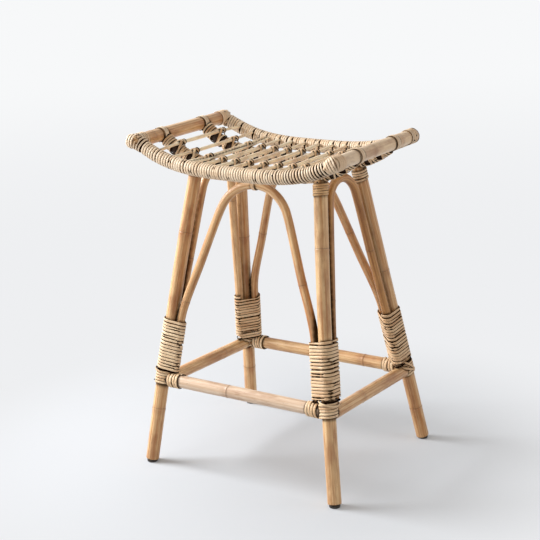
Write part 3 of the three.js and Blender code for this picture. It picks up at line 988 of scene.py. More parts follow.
class SharedEffects:
    """The node groups that more than one finish uses, each built once."""

    def __init__(self) -> None:
        """Builds all the groups."""
        self.fibres = self._fibres()
        self.stains = self._stains()
        self.growth_ring = self._growth_ring()

    @staticmethod
    def _start(name: str, inputs: dict[str, str], outputs: Sequence[str]) -> tuple[Wiring, Any]:
        """Starts a shader node group.

        Args:
            name: the group's name.
            inputs: the type of each input socket, by name.
            outputs: the names of its output sockets, which are numbers.

        Returns:
            The group's wiring, and what its inputs are given.
        """
        group = bpy.data.node_groups.new(name, "ShaderNodeTree")
        for label, kind in inputs.items():
            group.interface.new_socket(name=label, in_out="INPUT", socket_type=kind)
        for label in outputs:
            group.interface.new_socket(name=label, in_out="OUTPUT", socket_type=FLOAT)
        wiring = Wiring(group)
        return wiring, wiring.node("NodeGroupInput").outputs

    def _fibres(self) -> bpy.types.NodeTree:
        """Fine and broad lengthwise fibres of cane, along the third grain coordinate."""
        wiring, given = self._start("Cane fibres", {"Grain": VECTOR, "Fineness": FLOAT}, ("Fine", "Broad"))
        inputs = {0: given["Grain"], "Scale": given["Fineness"]}
        scaled = wiring.node("ShaderNodeVectorMath", inputs, operation="SCALE").outputs[0]
        fine = wiring.drawn_noise(scaled, 0.022, 1150.0, 3.0, 0.62)
        broad = wiring.drawn_noise(scaled, 0.012, 240.0, 2.0, 0.5)
        outputs = {"Fine": wiring.spread(fine, 0.3, 0.7), "Broad": wiring.spread(broad, 0.32, 0.68)}
        wiring.node("NodeGroupOutput", outputs)
        return wiring.tree

    def _stains(self) -> bpy.types.NodeTree:
        """Soft stains and small dark specks, as uneven drying leaves on cane."""
        wiring, given = self._start("Cane stains", {"Grain": VECTOR}, ("Stain", "Specks"))
        stain = wiring.drawn_noise(given["Grain"], 0.3, 55.0, 3.0, 0.55)
        specks = wiring.drawn_noise(given["Grain"], 0.45, 620.0, 1.0, 0.5)
        outputs = {"Stain": wiring.spread(stain, 0.42, 0.72), "Specks": wiring.spread(specks, 0.68, 0.78)}
        wiring.node("NodeGroupOutput", outputs)
        return wiring.tree

    def _growth_ring(self) -> bpy.types.NodeTree:
        """The thin dark scar of a growth ring and the warmer band beside it."""
        wiring, given = self._start("Growth ring", {"Growth": FLOAT, "Grain": VECTOR}, ("Scar", "Band"))
        ragged = wiring.drawn_noise(given["Grain"], 0.2, 260.0, 2.0, 0.6)
        shifted = wiring.scaled(ragged, 0.0016, wiring.maths("ADD", given["Growth"], -0.0032))
        beside = wiring.maths("ABSOLUTE", wiring.maths("ADD", given["Growth"], 0.002))
        scar = wiring.spread(wiring.maths("ABSOLUTE", shifted), 0.0013, 0.0002)
        wiring.node("NodeGroupOutput", {"Scar": scar, "Band": wiring.spread(beside, 0.016, 0.001)})
        return wiring.tree


# ---- finishes

# Near-black brown, painted as shade in crevices, in gaps and under overhanging strands.
PAINTED_SHADE: Colour = (30, 16, 8)
# A pale cream painted on as light falling on a cane, where its tone goes below 0.
PAINTED_LIGHT: Colour = (240, 214, 180)


@dataclass(frozen=True)
class Finish(ABC):
    """What every finish has.

    Attributes:
        name: its material's name.
        slot: the record's material slot that it stands for.
    """

    name: str
    slot: str

    @abstractmethod
    def surface(self, wiring: Wiring, effects: SharedEffects) -> dict[str, Any]:
        """Wires up what the shader takes.

        Args:
            wiring: the wiring of the material.
            effects: the shared node groups.

        Returns:
            A value, or an output to link, for each of the shader's sockets by name.
        """

    def dressing(self, effects: SharedEffects) -> Dressing:
        """Builds the material from the shared node groups and pairs it with its slot."""
        material = bpy.data.materials.new(self.name)
        wiring = Wiring.blank(material)
        shader = wiring.node("ShaderNodeBsdfPrincipled", self.surface(wiring, effects))
        wiring.node("ShaderNodeOutputMaterial", {"Surface": shader.outputs[0]})
        return Dressing(material, self.slot)


@dataclass(frozen=True)
class CaneFinish(Finish):
    """Whole cane under a thin lacquer: lengthwise fibres, stains and growth rings.

    Attributes:
        pale: the colour of its light fibres.
        deep: the colour of its dark fibres.
        stain: the colour of its stains and growth bands.
        scar: the colour of its specks and growth scars.
        roughness: how rough it is.
        fineness: how fine its fibres are.
        lacquer: how strong the clear coat is.
    """

    pale: Colour
    deep: Colour
    stain: Colour
    scar: Colour
    roughness: float = 0.42
    fineness: float = 1.0
    lacquer: float = 0.45

    def surface(self, wiring: Wiring, effects: SharedEffects) -> dict[str, Any]:
        """Wires up cane whose crevices are painted dark as shade and lose their sheen, as the base class
        says.
        """
        grain = wiring.attribute("grain", "Vector")
        tone, crevice = wiring.attribute("tone"), wiring.attribute("crevice")
        fibres = wiring.effect(effects.fibres, Grain=grain, Fineness=self.fineness)
        stains = wiring.effect(effects.stains, Grain=grain)
        growth = wiring.effect(effects.growth_ring, Grain=grain, Growth=wiring.attribute("growth"))
        streak = wiring.scaled(fibres["Fine"], 0.42, wiring.maths("MULTIPLY", fibres["Broad"], 0.58))
        streak = wiring.scaled(tone, 0.18, wiring.maths("ADD", streak, -0.09))
        base = wiring.blend(streak, opaque(self.pale), opaque(self.deep))
        base = wiring.layered(
            base,
            # Painted light: a tone below 0 pales the cane towards cream.
            (wiring.spread(tone, 0.0, -2.0), 1.0, PAINTED_LIGHT),
            (stains["Stain"], 0.55, self.stain),
            (growth["Band"], 0.24, self.stain),
            (stains["Specks"], 0.45, self.scar),
            (growth["Scar"], 0.4, self.scar),
            # Painted shade: crevices between canes and strands darken to near black.
            (crevice, 0.95, PAINTED_SHADE),
        )
        clean_and_unshaded = wiring.maths("SUBTRACT", 1.0, crevice)
        height = wiring.scaled(growth["Scar"], -0.9, wiring.maths("MULTIPLY", fibres["Fine"], 0.3))
        return {
            "Base Color": base,
            "Roughness": wiring.scaled(fibres["Fine"], 0.14, self.roughness - 0.07),
            "Normal": wiring.bump(height, 0.35, 0.0004),
            "Specular IOR Level": wiring.maths("MULTIPLY", clean_and_unshaded, 0.25),
            "Coat Weight": wiring.maths("MULTIPLY", clean_and_unshaded, self.lacquer),
            "Coat Roughness": 0.36,
        }


@dataclass(frozen=True)
class BindingFinish(Finish):
    """Split cane as it is wound: domed strands with dark cut edges, each a tone of its own.

    A tone from 0 to 1 darkens a strand, a tone above 1 paints it near black as shade, and a tone below 0
    makes it a plain one whose edges hardly show.

    Attributes:
        pale: the colour of its light strands.
        deep: the colour of its dark strands.
        edge: the colour of the cut edges and specks, dark enough to paint shade into the gaps between turns.
        stain: the colour of its stains.
        edge_start: how far from the middle of a strand its dark edge starts, from 0 to 1.
        roughness: how rough it is.
    """

    pale: Colour
    deep: Colour
    edge: Colour
    stain: Colour
    edge_start: float
    roughness: float = 0.46

    def surface(self, wiring: Wiring, effects: SharedEffects) -> dict[str, Any]:
        """Wires up strands whose edges are dark and dull, partly as painted shade in the gaps, as the base
        class says.
        """
        grain = wiring.attribute("grain", "Vector")
        tone, across = wiring.attribute("tone"), wiring.attribute("across")
        fibres = wiring.effect(effects.fibres, Grain=grain, Fineness=1.6)
        stains = wiring.effect(effects.stains, Grain=grain)
        plain = wiring.spread(tone, 0.0, -1.0)
        shade = wiring.scaled(plain, 0.7, wiring.maths("MULTIPLY", wiring.maths("MAXIMUM", tone, 0.0), 0.6))
        base = wiring.blend(wiring.scaled(fibres["Fine"], 0.4, shade), opaque(self.pale), opaque(self.deep))
        # The dark cut edges are real, and darkened further as painted shade in the gaps between turns.
        ragged = wiring.scaled(fibres["Broad"], 0.16, wiring.maths("ABSOLUTE", across))
        edge = wiring.spread(ragged, self.edge_start, 1.06)
        edge = wiring.maths("MULTIPLY", edge, wiring.scaled(plain, -0.75, 1.0))
        # Painted shade: a tone from 1 to 2 turns a strand near black where it stands for a shadowed turn.
        painted_shade_share = wiring.spread(tone, 1.0, 2.0)
        base = wiring.layered(
            base,
            (stains["Stain"], 0.5, self.stain),
            (stains["Specks"], 0.5, self.edge),
            (edge, 1.0, self.edge),
            (painted_shade_share, 1.0, PAINTED_SHADE),
        )
        clean_and_unshaded = wiring.maths("SUBTRACT", 1.0, wiring.maths("MAXIMUM", painted_shade_share, edge))
        height = wiring.scaled(fibres["Fine"], 0.6, wiring.maths("MULTIPLY", fibres["Broad"], 0.4))
        return {
            "Base Color": base,
            "Roughness": wiring.scaled(edge, 0.25, self.roughness),
            "Normal": wiring.bump(height, 0.4, 0.0003),
            "Specular IOR Level": wiring.maths("MULTIPLY", clean_and_unshaded, 0.25),
            "Coat Weight": wiring.maths("MULTIPLY", clean_and_unshaded, 0.15),
            "Coat Roughness": 0.34,
        }


@dataclass(frozen=True)
class PlainFinish(Finish):
    """Moulded plastic or drawn steel: one colour, lightly scuffed.

    Attributes:
        body: its colour.
        scuffed: its colour where it is scuffed.
        roughness: how rough it is.
        metallic: how much of it is bare metal, from 0 to 1.
        scale: how fine the scuffs are.
    """

    body: Colour
    scuffed: Colour
    roughness: float
    metallic: float
    scale: float

    def surface(self, wiring: Wiring, effects: SharedEffects) -> dict[str, Any]:
        """Wires up the scuffs, as the base class says, with none of the shared effects."""
        place = wiring.node("ShaderNodeTexCoord").outputs["Object"]
        scuffs = wiring.spread(wiring.noise(place, self.scale, 4.0, 0.65), 0.45, 0.7)
        return {
            "Base Color": wiring.blend(scuffs, opaque(self.body), opaque(self.scuffed)),
            "Roughness": wiring.scaled(scuffs, 0.2, self.roughness),
            "Metallic": self.metallic,
            "Normal": wiring.bump(scuffs, 0.2, 0.0002),
        }


class Finishes:
    """All the finishes of the stool, built once."""

    def __init__(self) -> None:
        """Builds each material."""
        effects = SharedEffects()
        cane_scar = (70, 34, 12)
        self.pole = CaneFinish(
            "Pole cane", "pole_cane", (237, 203, 154), (182, 120, 62), (142, 78, 32), cane_scar
        ).dressing(effects)
        # A darker, more saturated copy of the pole cane: partly a real difference in tone, partly painted
        # shade for the leg's shadow on the right hoop.
        self.shaded_ruddy = CaneFinish(
            "Shaded ruddy cane", "pole_cane", (214, 162, 98), (146, 90, 40), (116, 64, 26), (60, 28, 10)
        ).dressing(effects)
        self.rung = CaneFinish(
            "Rung cane", "pole_cane", (226, 204, 180), (188, 150, 116), (142, 88, 46), cane_scar,
            roughness=0.44,
        ).dressing(effects)
        # The cane under the rail binding and the support poles is painted dark brown as shade, so that the
        # gaps between turns read as shadowed.
        self.core = CaneFinish(
            "Shaded bound cane", "pole_cane", (66, 42, 24), (42, 26, 14), (46, 28, 16), PAINTED_SHADE,
            roughness=0.7, lacquer=0.0,
        ).dressing(effects)
        self.slat = CaneFinish(
            "Slat cane", "slat_cane", (255, 248, 224), (248, 216, 172), (176, 112, 54), (84, 44, 18),
            roughness=0.46, fineness=1.6, lacquer=0.35,
        ).dressing(effects)
        self.pale_binding = BindingFinish(
            "Pale binding", "pale_binding", (246, 229, 204), (220, 186, 148), (106, 70, 42), (202, 160, 116),
            edge_start=0.84,
        ).dressing(effects)
        self.top_binding = BindingFinish(
            "Top binding", "leg_binding", (232, 196, 148), (196, 148, 96), (96, 56, 26), (164, 108, 62),
            edge_start=0.8,
        ).dressing(effects)
        # Its near-black edge colour is mostly painted shade in the gaps between turns.
        self.leg_binding = BindingFinish(
            "Leg binding", "leg_binding", (252, 228, 192), (206, 160, 112), (34, 18, 8), (160, 104, 58),
            edge_start=0.78,
        ).dressing(effects)
        self.glide = PlainFinish(
            "Glide plastic", "glide_plastic", (46, 40, 36), (78, 70, 62), 0.6, 0.0, 260.0
        ).dressing(effects)
        self.steel = PlainFinish(
            "Nail steel", "nail_steel", (34, 28, 25), (70, 58, 48), 0.5, 0.6, 700.0
        ).dressing(effects)


# ---- legs, rungs and hoops


@dataclass(frozen=True)
class TopTurns:
    """The turns round the top of one leg: heights, how many passes, the strand and its unevenness."""

    low: float
    high: float
    count: int
    strand: Strand
    sway: float


@dataclass
class Legs:
    """The four legs with their glides and the turns of strand round their tops."""

    finishes: Finishes
    growth: dict[Leg, tuple[float, ...]] = fixed({
        Leg.FRONT_LEFT: (110.0, 486.0, 606.0, 612.0),
        Leg.FRONT_RIGHT: (235.0, 492.0),
        Leg.BACK_RIGHT: (70.0, 395.0),
        Leg.BACK_LEFT: (95.0, 430.0),
    })
    foot_z: float = 5.4
    top_turns: dict[Leg, TopTurns] = fixed({
        Leg.FRONT_LEFT: TopTurns(596.0, 607.0, 3, Strand(4.6, 1.5), 0.3),
        Leg.FRONT_RIGHT: TopTurns(582.0, 608.0, 6, Strand(4.4, 1.1), 0.3),
        Leg.BACK_RIGHT: TopTurns(582.0, 608.5, 5, Strand(4.6, 2.1), 0.9),
        Leg.BACK_LEFT: TopTurns(583.0, 608.0, 5, Strand(4.6, 1.5), 0.6),
    })
    glide_ease: float = 1.1
    glide_ring: float = 0.62
    glide_hole: float = 1.6

    def build(self) -> None:
        """Builds every leg, glide and set of top turns."""
        for index, leg in enumerate(Leg):
            route = PLAN.leg_route(leg, self.foot_z, PLAN.leg_end_z, 90)
            copes = (None, (PLAN.support_route(leg.end), PLAN.support_radius + 0.3))
            cane = Cane(route, PLAN.leg_radius, self.growth[leg], 100 + index, end_round=1.6, copes=copes)
            cane.make(f"leg_cane_{leg.label}", self.finishes.pole, f"leg_{leg.label}")
            self._glide(leg)
            self._top_turns(leg, 300 + index)

    def _glide(self, leg: Leg) -> None:
        """Models a glide: a low disc of plastic with an eased foot and a nail hole under it."""
        low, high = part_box(f"glide_{leg.label}")
        radius = (high.x - low.x) / 2
        down = Vector((0.0, 0.0, -1.0))
        deselect_all()
        bpy.ops.mesh.primitive_cylinder_add(
            vertices=48, radius=radius, depth=high.z - low.z, location=(low + high) / 2, end_fill_type="NGON"
        )
        glide = bpy.context.active_object
        select_facing(glide, down, 0.9)
        with edit_mode():
            bpy.ops.mesh.bevel(offset=self.glide_ease * MM, segments=3, affect="EDGES")
        select_facing(glide, down, 0.99, corners=9)
        with edit_mode():
            bpy.ops.mesh.inset(thickness=radius * self.glide_ring)
            bpy.ops.mesh.extrude_region_move(TRANSFORM_OT_translate={"value": (0, 0, self.glide_hole * MM)})
        bpy.ops.object.transform_apply(location=True, rotation=True, scale=True)
        finish_piece(
            [glide], f"glide_disc_{leg.label}", self.finishes.glide, f"glide_{leg.label}", crease=35.0
        )

    def _top_turns(self, leg: Leg, seed: int) -> None:
        """Winds the few turns of strand round the top of a leg."""
        turns = self.top_turns[leg]
        route = PLAN.leg_route(leg, turns.low, turns.high, 12)
        half = turns.strand.width / 2
        passes = np.linspace(half, route.length - half, turns.count)
        winding = Winding(
            route, round_outline(PLAN.leg_radius + 0.45), turns.strand, passes, math.pi / 2, seed,
            sway=turns.sway, loose=0.25,
        )
        finish = self.finishes.leg_binding if leg.end is End.BACK else self.finishes.top_binding
        finish_piece([winding.mesh()], f"top_turns_{leg.label}", finish, f"top_rings_{leg.label}")


@dataclass(frozen=True)
class RungPlace:
    """Where a rung lies: the legs that it joins, its height at each, and its growth ring."""

    legs: tuple[Leg, Leg]
    heights: Span
    growth: float


@dataclass
class Rungs:
    """The four rungs, coped to the legs that they join."""

    finishes: Finishes
    places: dict[str, RungPlace] = fixed({
        "front_rung": RungPlace((Leg.FRONT_LEFT, Leg.FRONT_RIGHT), (PLAN.long_rung_z[End.FRONT],) * 2, 165.0),
        "back_rung": RungPlace((Leg.BACK_LEFT, Leg.BACK_RIGHT), (PLAN.long_rung_z[End.BACK],) * 2, 300.0),
        "left_rung": RungPlace((Leg.FRONT_LEFT, Leg.BACK_LEFT), (172.0, 163.5), 210.0),
        "right_rung": RungPlace((Leg.FRONT_RIGHT, Leg.BACK_RIGHT), (172.0, 163.5), 120.0),
    })
    leg_part: Span = (100.0, 260.0)

    def build(self) -> None:
        """Builds every rung."""
        for index, (name, place) in enumerate(self.places.items()):
            ends = [PLAN.leg_point(leg, z) for leg, z in zip(place.legs, place.heights)]
            cutters = [PLAN.leg_route(leg, *self.leg_part, 33) for leg in place.legs]
            copes = tuple((cutter, PLAN.leg_radius + 0.3) for cutter in cutters)
            cane = Cane(
                Route.straight(*ends, AXIS_Z), PLAN.rung_radius, (place.growth,), 130 + index, copes=copes,
                end_round=0.01,
            )
            finish = self.finishes.rung if name == "front_rung" else self.finishes.pole
            cane.make(f"{name}_cane", finish, name)


@dataclass(frozen=True)
class HoopShape:
    """The round top of a hoop: the height of its peak and how its limbs lean in."""

    peak: float
    slope: float


@dataclass(frozen=True)
class HoopPlace:
    """Where a hoop stands: the legs that its limbs are bound to, and its growth rings."""

    legs: tuple[Leg, Leg]
    growth: Span

    @property
    def long(self) -> bool:
        """Whether it stands along a long side of the seat."""
        return self.legs[0].end is self.legs[1].end


@dataclass
class Hoops:
    """The four bent hoops whose limbs are bound to the legs."""

    finishes: Finishes
    long: HoopShape = HoopShape(591.0, 0.36)
    short: HoopShape = HoopShape(603.0, 0.22)
    places: dict[str, HoopPlace] = fixed({
        "front_hoop": HoopPlace((Leg.FRONT_LEFT, Leg.FRONT_RIGHT), (150.0, 700.0)),
        "back_hoop": HoopPlace((Leg.BACK_LEFT, Leg.BACK_RIGHT), (255.0, 640.0)),
        "left_hoop": HoopPlace((Leg.FRONT_LEFT, Leg.BACK_LEFT), (230.0, 560.0)),
        "right_hoop": HoopPlace((Leg.FRONT_RIGHT, Leg.BACK_RIGHT), (190.0, 640.0)),
    })
    arc_steps: int = 5

    def _profile(self, bend_half: float, shape: HoopShape) -> list[Span]:
        """Half the width of a hoop at heights from its bend to its peak: straight limbs, round top."""
        hypotenuse = math.hypot(1, shape.slope)
        turn = math.atan2(1, shape.slope)
        sine, cosine = 1 / hypotenuse, shape.slope / hypotenuse
        drawn_in = shape.slope * (shape.peak - PLAN.hoop_bend_z)
        radius = (bend_half - drawn_in) / (sine - shape.slope * (1 - cosine))
        arc = []
        for step in range(self.arc_steps):
            angle = turn * (1 - step / self.arc_steps)
            arc.append((radius * math.sin(angle), shape.peak - radius + radius * math.cos(angle)))
        middle = (PLAN.hoop_bend_z + arc[0][1]) / 2
        return [(bend_half - shape.slope * (middle - PLAN.hoop_bend_z), middle), *arc]

    def _limb(self, leg: Leg, long: bool) -> list[Array]:
        """Points of a hoop's limb from its foot to its bend, beside its leg."""
        reach_x, reach_y = PLAN.hoop_from_leg
        aside = leg.inward * (reach_x * AXIS_X if long else reach_y * AXIS_Y)
        heights = np.linspace(PLAN.hoop_foot_z, PLAN.hoop_bend_z, 3)
        return [PLAN.leg_point(leg, z) + aside for z in heights]

    def axis(self, place: HoopPlace) -> Route:
        """The axis of a hoop, up one limb and down the other."""
        shape = self.long if place.long else self.short
        limb_a, limb_b = (self._limb(leg, place.long) for leg in place.legs)
        span = limb_b[-1] - limb_a[-1]
        half = float(np.linalg.norm(span)) / 2
        rise = [(-reach, z) for reach, z in self._profile(half, shape)]
        fall = [(-reach, z) for reach, z in reversed(rise)]
        arch = []
        for reach, z in [*rise, (0.0, shape.peak), *fall]:
            middle = (PLAN.leg_point(place.legs[0], z) + PLAN.leg_point(place.legs[1], z)) / 2
            arch.append([*(middle + unit(span) * reach)[:2], z])
        return Route(catmull_rom([*limb_a, *arch, *reversed(limb_b)]), AXIS_Y if place.long else AXIS_X)

    def build(self) -> None:
        """Builds every hoop."""
        for index, (name, place) in enumerate(self.places.items()):
            cane = Cane(
                self.axis(place), PLAN.hoop_radius, place.growth, 160 + index, sides=22, swell=0.35,
                wander=0.018,
            )
            # The right hoop takes the darker copy, as painted shade where the front-right leg shades it.
            finish = self.finishes.shaded_ruddy if name == "right_hoop" else self.finishes.pole
            cane.make(f"{name}_cane", finish, name)


# ---- bindings on the legs


@dataclass
class LegBindings:
    """The long bundles that bind the hoop limbs to the legs, and the wraps where the rungs meet them."""

    finishes: Finishes
    strand: Strand = Strand(6.0, 2.5, fine=True)
    joint_strand: Strand = Strand(5.2, 2.3, fine=True)
    rung_strand: Strand = Strand(6.4, 2.3, fine=True)
    bottoms: dict[End, float] = fixed({End.FRONT: 199.0, End.BACK: 188.0})
    heights: dict[Leg, float] = fixed({
        Leg.FRONT_LEFT: 110.0, Leg.FRONT_RIGHT: 118.0, Leg.BACK_RIGHT: 120.0, Leg.BACK_LEFT: 107.0
    })
    pitch: float = 6.8
    middle_gap: float = 1.4
    top_gap: float = 1.3
    rung_starts: dict[Leg, float] = fixed({
        Leg.FRONT_LEFT: 17.0, Leg.FRONT_RIGHT: 14.5, Leg.BACK_RIGHT: 18.0, Leg.BACK_LEFT: 18.0
    })
    rung_passes: tuple[float, ...] = (3.4, 10.4, 17.4, 24.0, 30.2)
    clearance: float = 0.4
    joint_reach: Span = (-12.6, 21.0)

    def build(self) -> None:
        """Builds every bundle and joint wrap."""
        for index, leg in enumerate(Leg):
            self._bundle(leg, 400 + index)
            self._joint(leg, 440 + index)

    def _around(self, route: Route, leg: Leg, from_leg: Span, radius: float) -> Outline:
        """The outline round a leg and two canes beside it, one towards each rung.

        Args:
            route: the leg's axis.
            leg: which leg.
            from_leg: how far the canes' axes are from the leg's, along X and along Y.
            radius: their radius.

        Returns:
            The outline in the section of the leg.
        """
        discs = [Disc(PLAN.leg_radius + self.clearance)]
        for axis, reach in zip((AXIS_X, AXIS_Y), from_leg):
            offset = leg.inward * axis * reach
            discs.append(Disc(radius, float(route.sides[0].dot(offset)), float(route.ups[0].dot(offset))))
        return Outline(tuple(discs))

    def _bundle(self, leg: Leg, seed: int) -> None:
        """Winds one bundle round a leg and its two hoop limbs, with a wider gap halfway and at its top."""
        low = self.bottoms[leg.end]
        foot, top = PLAN.leg_point(leg, np.array([low, low + self.heights[leg]]))
        route = Route.straight(foot, top, AXIS_X)
        outline = self._around(route, leg, PLAN.hoop_from_leg, PLAN.hoop_radius + self.clearance)
        reach = route.length - self.strand.width
        turns = round(reach / self.pitch)
        gaps = 1 + np.random.default_rng(seed + 50).normal(0, 0.05, turns)
        gaps[turns // 2] = self.middle_gap
        gaps[-1] = self.top_gap
        passes = self.strand.width / 2 + np.concatenate([[0.0], np.cumsum(gaps)]) / gaps.sum() * reach
        winding = Winding(
            route, outline, self.strand, passes, route.angle_of(leg.inward), seed, steps=40, sway=0.55,
            loose=0.25, hand=-leg.value[0] * leg.value[1], nicks=round(1.8 * turns),
            # The front-left bundle's turns are kept paler, as painted light where the lamp on the left falls
            # on it.
            tones=(0.0, 0.45) if leg is Leg.FRONT_LEFT else (0.35, 1.0),
        )
        # A near-black loop under the bundle, painted as the shadow under its overhang.
        under = Loop(
            foot - 1.2 * AXIS_Z, route.sides[0], route.ups[0], outline, Strand(3.4, 1.3), seed + 60, steps=40,
            bulge=0.4, tone=2.0,
        )
        parts = [winding.mesh(), under.mesh()]
        node = f"bundle_wrap_{leg.label}"
        finish_piece(parts, f"bundle_turns_{leg.label}", self.finishes.leg_binding, node)

    def _joint(self, leg: Leg, seed: int) -> None:
        """Winds the strands round a leg and its long rung where they meet, and the slanting ones."""
        rung_z = PLAN.long_rung_z[leg.end]
        leg_route = PLAN.leg_route(leg, *(rung_z + reach for reach in self.joint_reach), 16)
        outline = self._around(leg_route, leg, (5.0, 5.0), PLAN.rung_radius)
        half = self.joint_strand.width / 2
        on_leg = Winding(
            leg_route, outline, self.joint_strand, np.linspace(half, leg_route.length - half, 6),
            leg_route.angle_of(leg.inward), seed, steps=32, sway=0.35, loose=0.3,
        )
        middle = PLAN.leg_point(leg, rung_z)
        ahead = leg.inward * AXIS_X
        first = self.rung_starts[leg]
        rung_route = Route.straight(middle + ahead * first, middle + ahead * (first + 33.0), AXIS_Z)
        on_rung = Winding(
            rung_route, round_outline(PLAN.rung_radius + self.clearance), self.rung_strand,
            np.array(self.rung_passes), 0.0, seed + 20, sway=1.3, loose=0.6,
        )
        parts = [on_leg.mesh(), on_rung.mesh()]
        if leg.end is End.BACK:
            parts.extend(self._crossed(leg, middle, seed + 50))
        else:
            parts.append(self._slack(leg, seed + 40))
        node = f"joint_wrap_{leg.label}"
        finish_piece(parts, f"joint_turns_{leg.label}", self.finishes.leg_binding, node)

    def _slack(self, leg: Leg, seed: int) -> Piece:
        """Loops one slanting strand round a front leg between its bundle and the turns at its rungs."""
        lower, level = unit(np.array([0.84, 0.54, -0.2])), np.array([-0.54, 0.84, 0.0])
        reach = PLAN.leg_radius + 3.4
        outline = Outline((Disc(reach), Disc(reach, 2.5)))
        centre = PLAN.leg_point(leg, PLAN.long_rung_z[leg.end] + 18.6)
        return Loop(centre, lower, level, outline, self.joint_strand, seed, steps=32).mesh()

    def _crossed(self, leg: Leg, centre: Array, seed: int) -> list[Piece]:
        """Loops two strands slantwise over a leg and the end of its short rung."""
        rung = Disc(PLAN.rung_radius, 15.0, 0.0, PLAN.rung_radius + 1.4)
        outline = Outline((Disc(PLAN.leg_radius + 2.6), rung))
        loops = []
        for index, (rise, drop) in enumerate(((0.75, 3.0), (0.35, -1.5))):
            across = unit(leg.inward * AXIS_Y + rise * AXIS_Z)
            place = centre + drop * AXIS_Z
            loop = Loop(place, across, AXIS_X, outline, self.joint_strand, seed + index, steps=36)
            loops.append(loop.mesh())
        return loops


# ---- seat


@dataclass
class SeatPoles:
    """The poles across the ends of the seat, their bands, and the support poles under the slats."""

    finishes: Finishes
    growth: dict[Side, Span] = fixed({Side.LEFT: (62.0, 298.0), Side.RIGHT: (150.0, 262.0)})
    support_growth: Span = (118.0, 330.0)
    band_y: dict[End, float] = fixed({End.FRONT: -75.5, End.BACK: 66.5})
    band_half_width: float = 8.5
    band_strand: Strand = Strand(4.1, 1.7, fine=True)
    # A thin strand painted near black as the shadow at a band's front edge.
    shadow_line_strand: Strand = Strand(1.1, 0.9)
    tip_round: float = 8.6

    @staticmethod
    def _sunned(distances: Array) -> Array:
        """How much painted light a pole gets along its length: most at the front."""
        return np.clip(1.15 - distances / 240, 0.6, 1)

    def build(self) -> None:
        """Builds the end poles, the bands and the support poles."""
        for index, side in enumerate(Side):
            cane = Cane(
                PLAN.pole_route(side), PLAN.pole_radius, self.growth[side], 200 + index,
                # The right pole is painted paler towards the front, as light falling on it.
                end_round=self.tip_round, painted_light=self._sunned if side is Side.RIGHT else None,
            )
            cane.make(f"end_pole_{side.label}_cane", self.finishes.pole, f"end_pole_{side.label}")
            for end in End:
                self._band(side, end, 230 + 10 * side.value + end.value)
        copes = tuple((PLAN.pole_route(side), PLAN.pole_radius + 2.4) for side in Side)
        for index, end in enumerate(End):
            cane = Cane(
                PLAN.support_route(end), PLAN.support_radius, self.support_growth, 210 + index, copes=copes,
                end_round=0.01,
            )
            # The support poles take the dark cane painted as shade.
            cane.make(f"support_pole_{end.label}_cane", self.finishes.core, f"support_pole_{end.label}")

    def _band(self, side: Side, end: End, seed: int) -> None:
        """Winds a band of strand round an end pole, with a near-black turn at its front edge painted as the
        shadow under the band.
        """
        low, high = self.band_y[end] - self.band_half_width, self.band_y[end] + self.band_half_width
        start, stop = PLAN.pole_point(side, low), PLAN.pole_point(side, high)
        route = Route.straight(start, stop, AXIS_Z)
        half = self.band_strand.width / 2
        passes = np.linspace(half + 1.0, route.length - half, 4)
        outline = round_outline(PLAN.pole_radius + 0.3)
        winding = Winding(route, outline, self.band_strand, passes, math.pi, seed, sway=0.3)
        # Painted shadow: a thin near-black turn at the band's front edge.
        shadow_line = Loop(
            start, AXIS_X, AXIS_Z, outline, self.shadow_line_strand, seed, steps=30, bulge=0.3, tone=1.8
        )
        node = f"pole_band_{side.label}_{end.label}"
        finish_piece([winding.mesh(), shadow_line.mesh()], f"{node}_turns", self.finishes.pale_binding, node)


@dataclass
class Slats:
    """The thin canes of the seat, from rail to rail over both support poles."""

    finishes: Finishes
    twin_offset: float = 8.6
    twin_radius: float = 2.6

    def _axis(self, station: float, radius: float, seed: int) -> Route:
        """The axis of a slat, with the small bends of a thin cane."""
        rng = np.random.default_rng(seed)
        x, z = PLAN.slat_crossing(station, radius)
        end_z = float(PLAN.rail_height(x)) + PLAN.slat_end_lift
        ends = [(x, PLAN.slat_end_y, end_z), (x, PLAN.support_y, z)]
        middle = (x + rng.normal(0, 0.6), rng.uniform(-15, 15), z + rng.uniform(-0.9, 0.3))
        points = [*((x, -y, height) for x, y, height in ends), middle, *reversed(ends)]
        return Route(catmull_rom(points), AXIS_X)

    @staticmethod
    def _pared(middle: float, share: float, distances: Array) -> Array:
        """How thick a slat is along its length: pared down outside the support poles."""
        outside = np.clip((np.abs(distances - middle) - 74) / 10, 0, 1)
        return share * (1 - 0.22 * outside)

    def build(self) -> None:
        """Builds every slat and the thin twin beside the third."""
        places = [(f"slat_{i + 1:02d}", x, PLAN.slat_radius) for i, x in enumerate(PLAN.slat_stations)]
        places.append(("slat_03_twin", PLAN.slat_stations[2] + self.twin_offset, self.twin_radius))
        for index, (node, station, radius) in enumerate(places):
            route = self._axis(station, radius, 720 + index)
            cane = Cane(
                route, radius, np.sort(np.random.default_rng(700 + index).uniform(20, 260, 3)), 740 + index,
                sides=14, swell=0.5, wander=0.05, end_round=0.6,
                thin=partial(self._pared, route.length / 2, 0.94 if index < 2 else 1.08),
            )
            cane.make(f"{node}_cane", self.finishes.slat, node)


@dataclass(frozen=True)
class Corner:
    """How the tip of an end pole is bound.

    Attributes:
        turns: how far out the turns beside the corner's loops lie, and how wide they are.
        fan: the angles in degrees of the loops that fan out from the corner by the rail.
        rows: loops that carry the rail's turns on over the tip: how far seatward of the pole's axis
            they lie, how far out their middles are and how large they are.
    """

    turns: tuple[Span, ...]
    fan: tuple[float, ...] = ()
    rows: tuple[tuple[float, float, float], ...] = ()


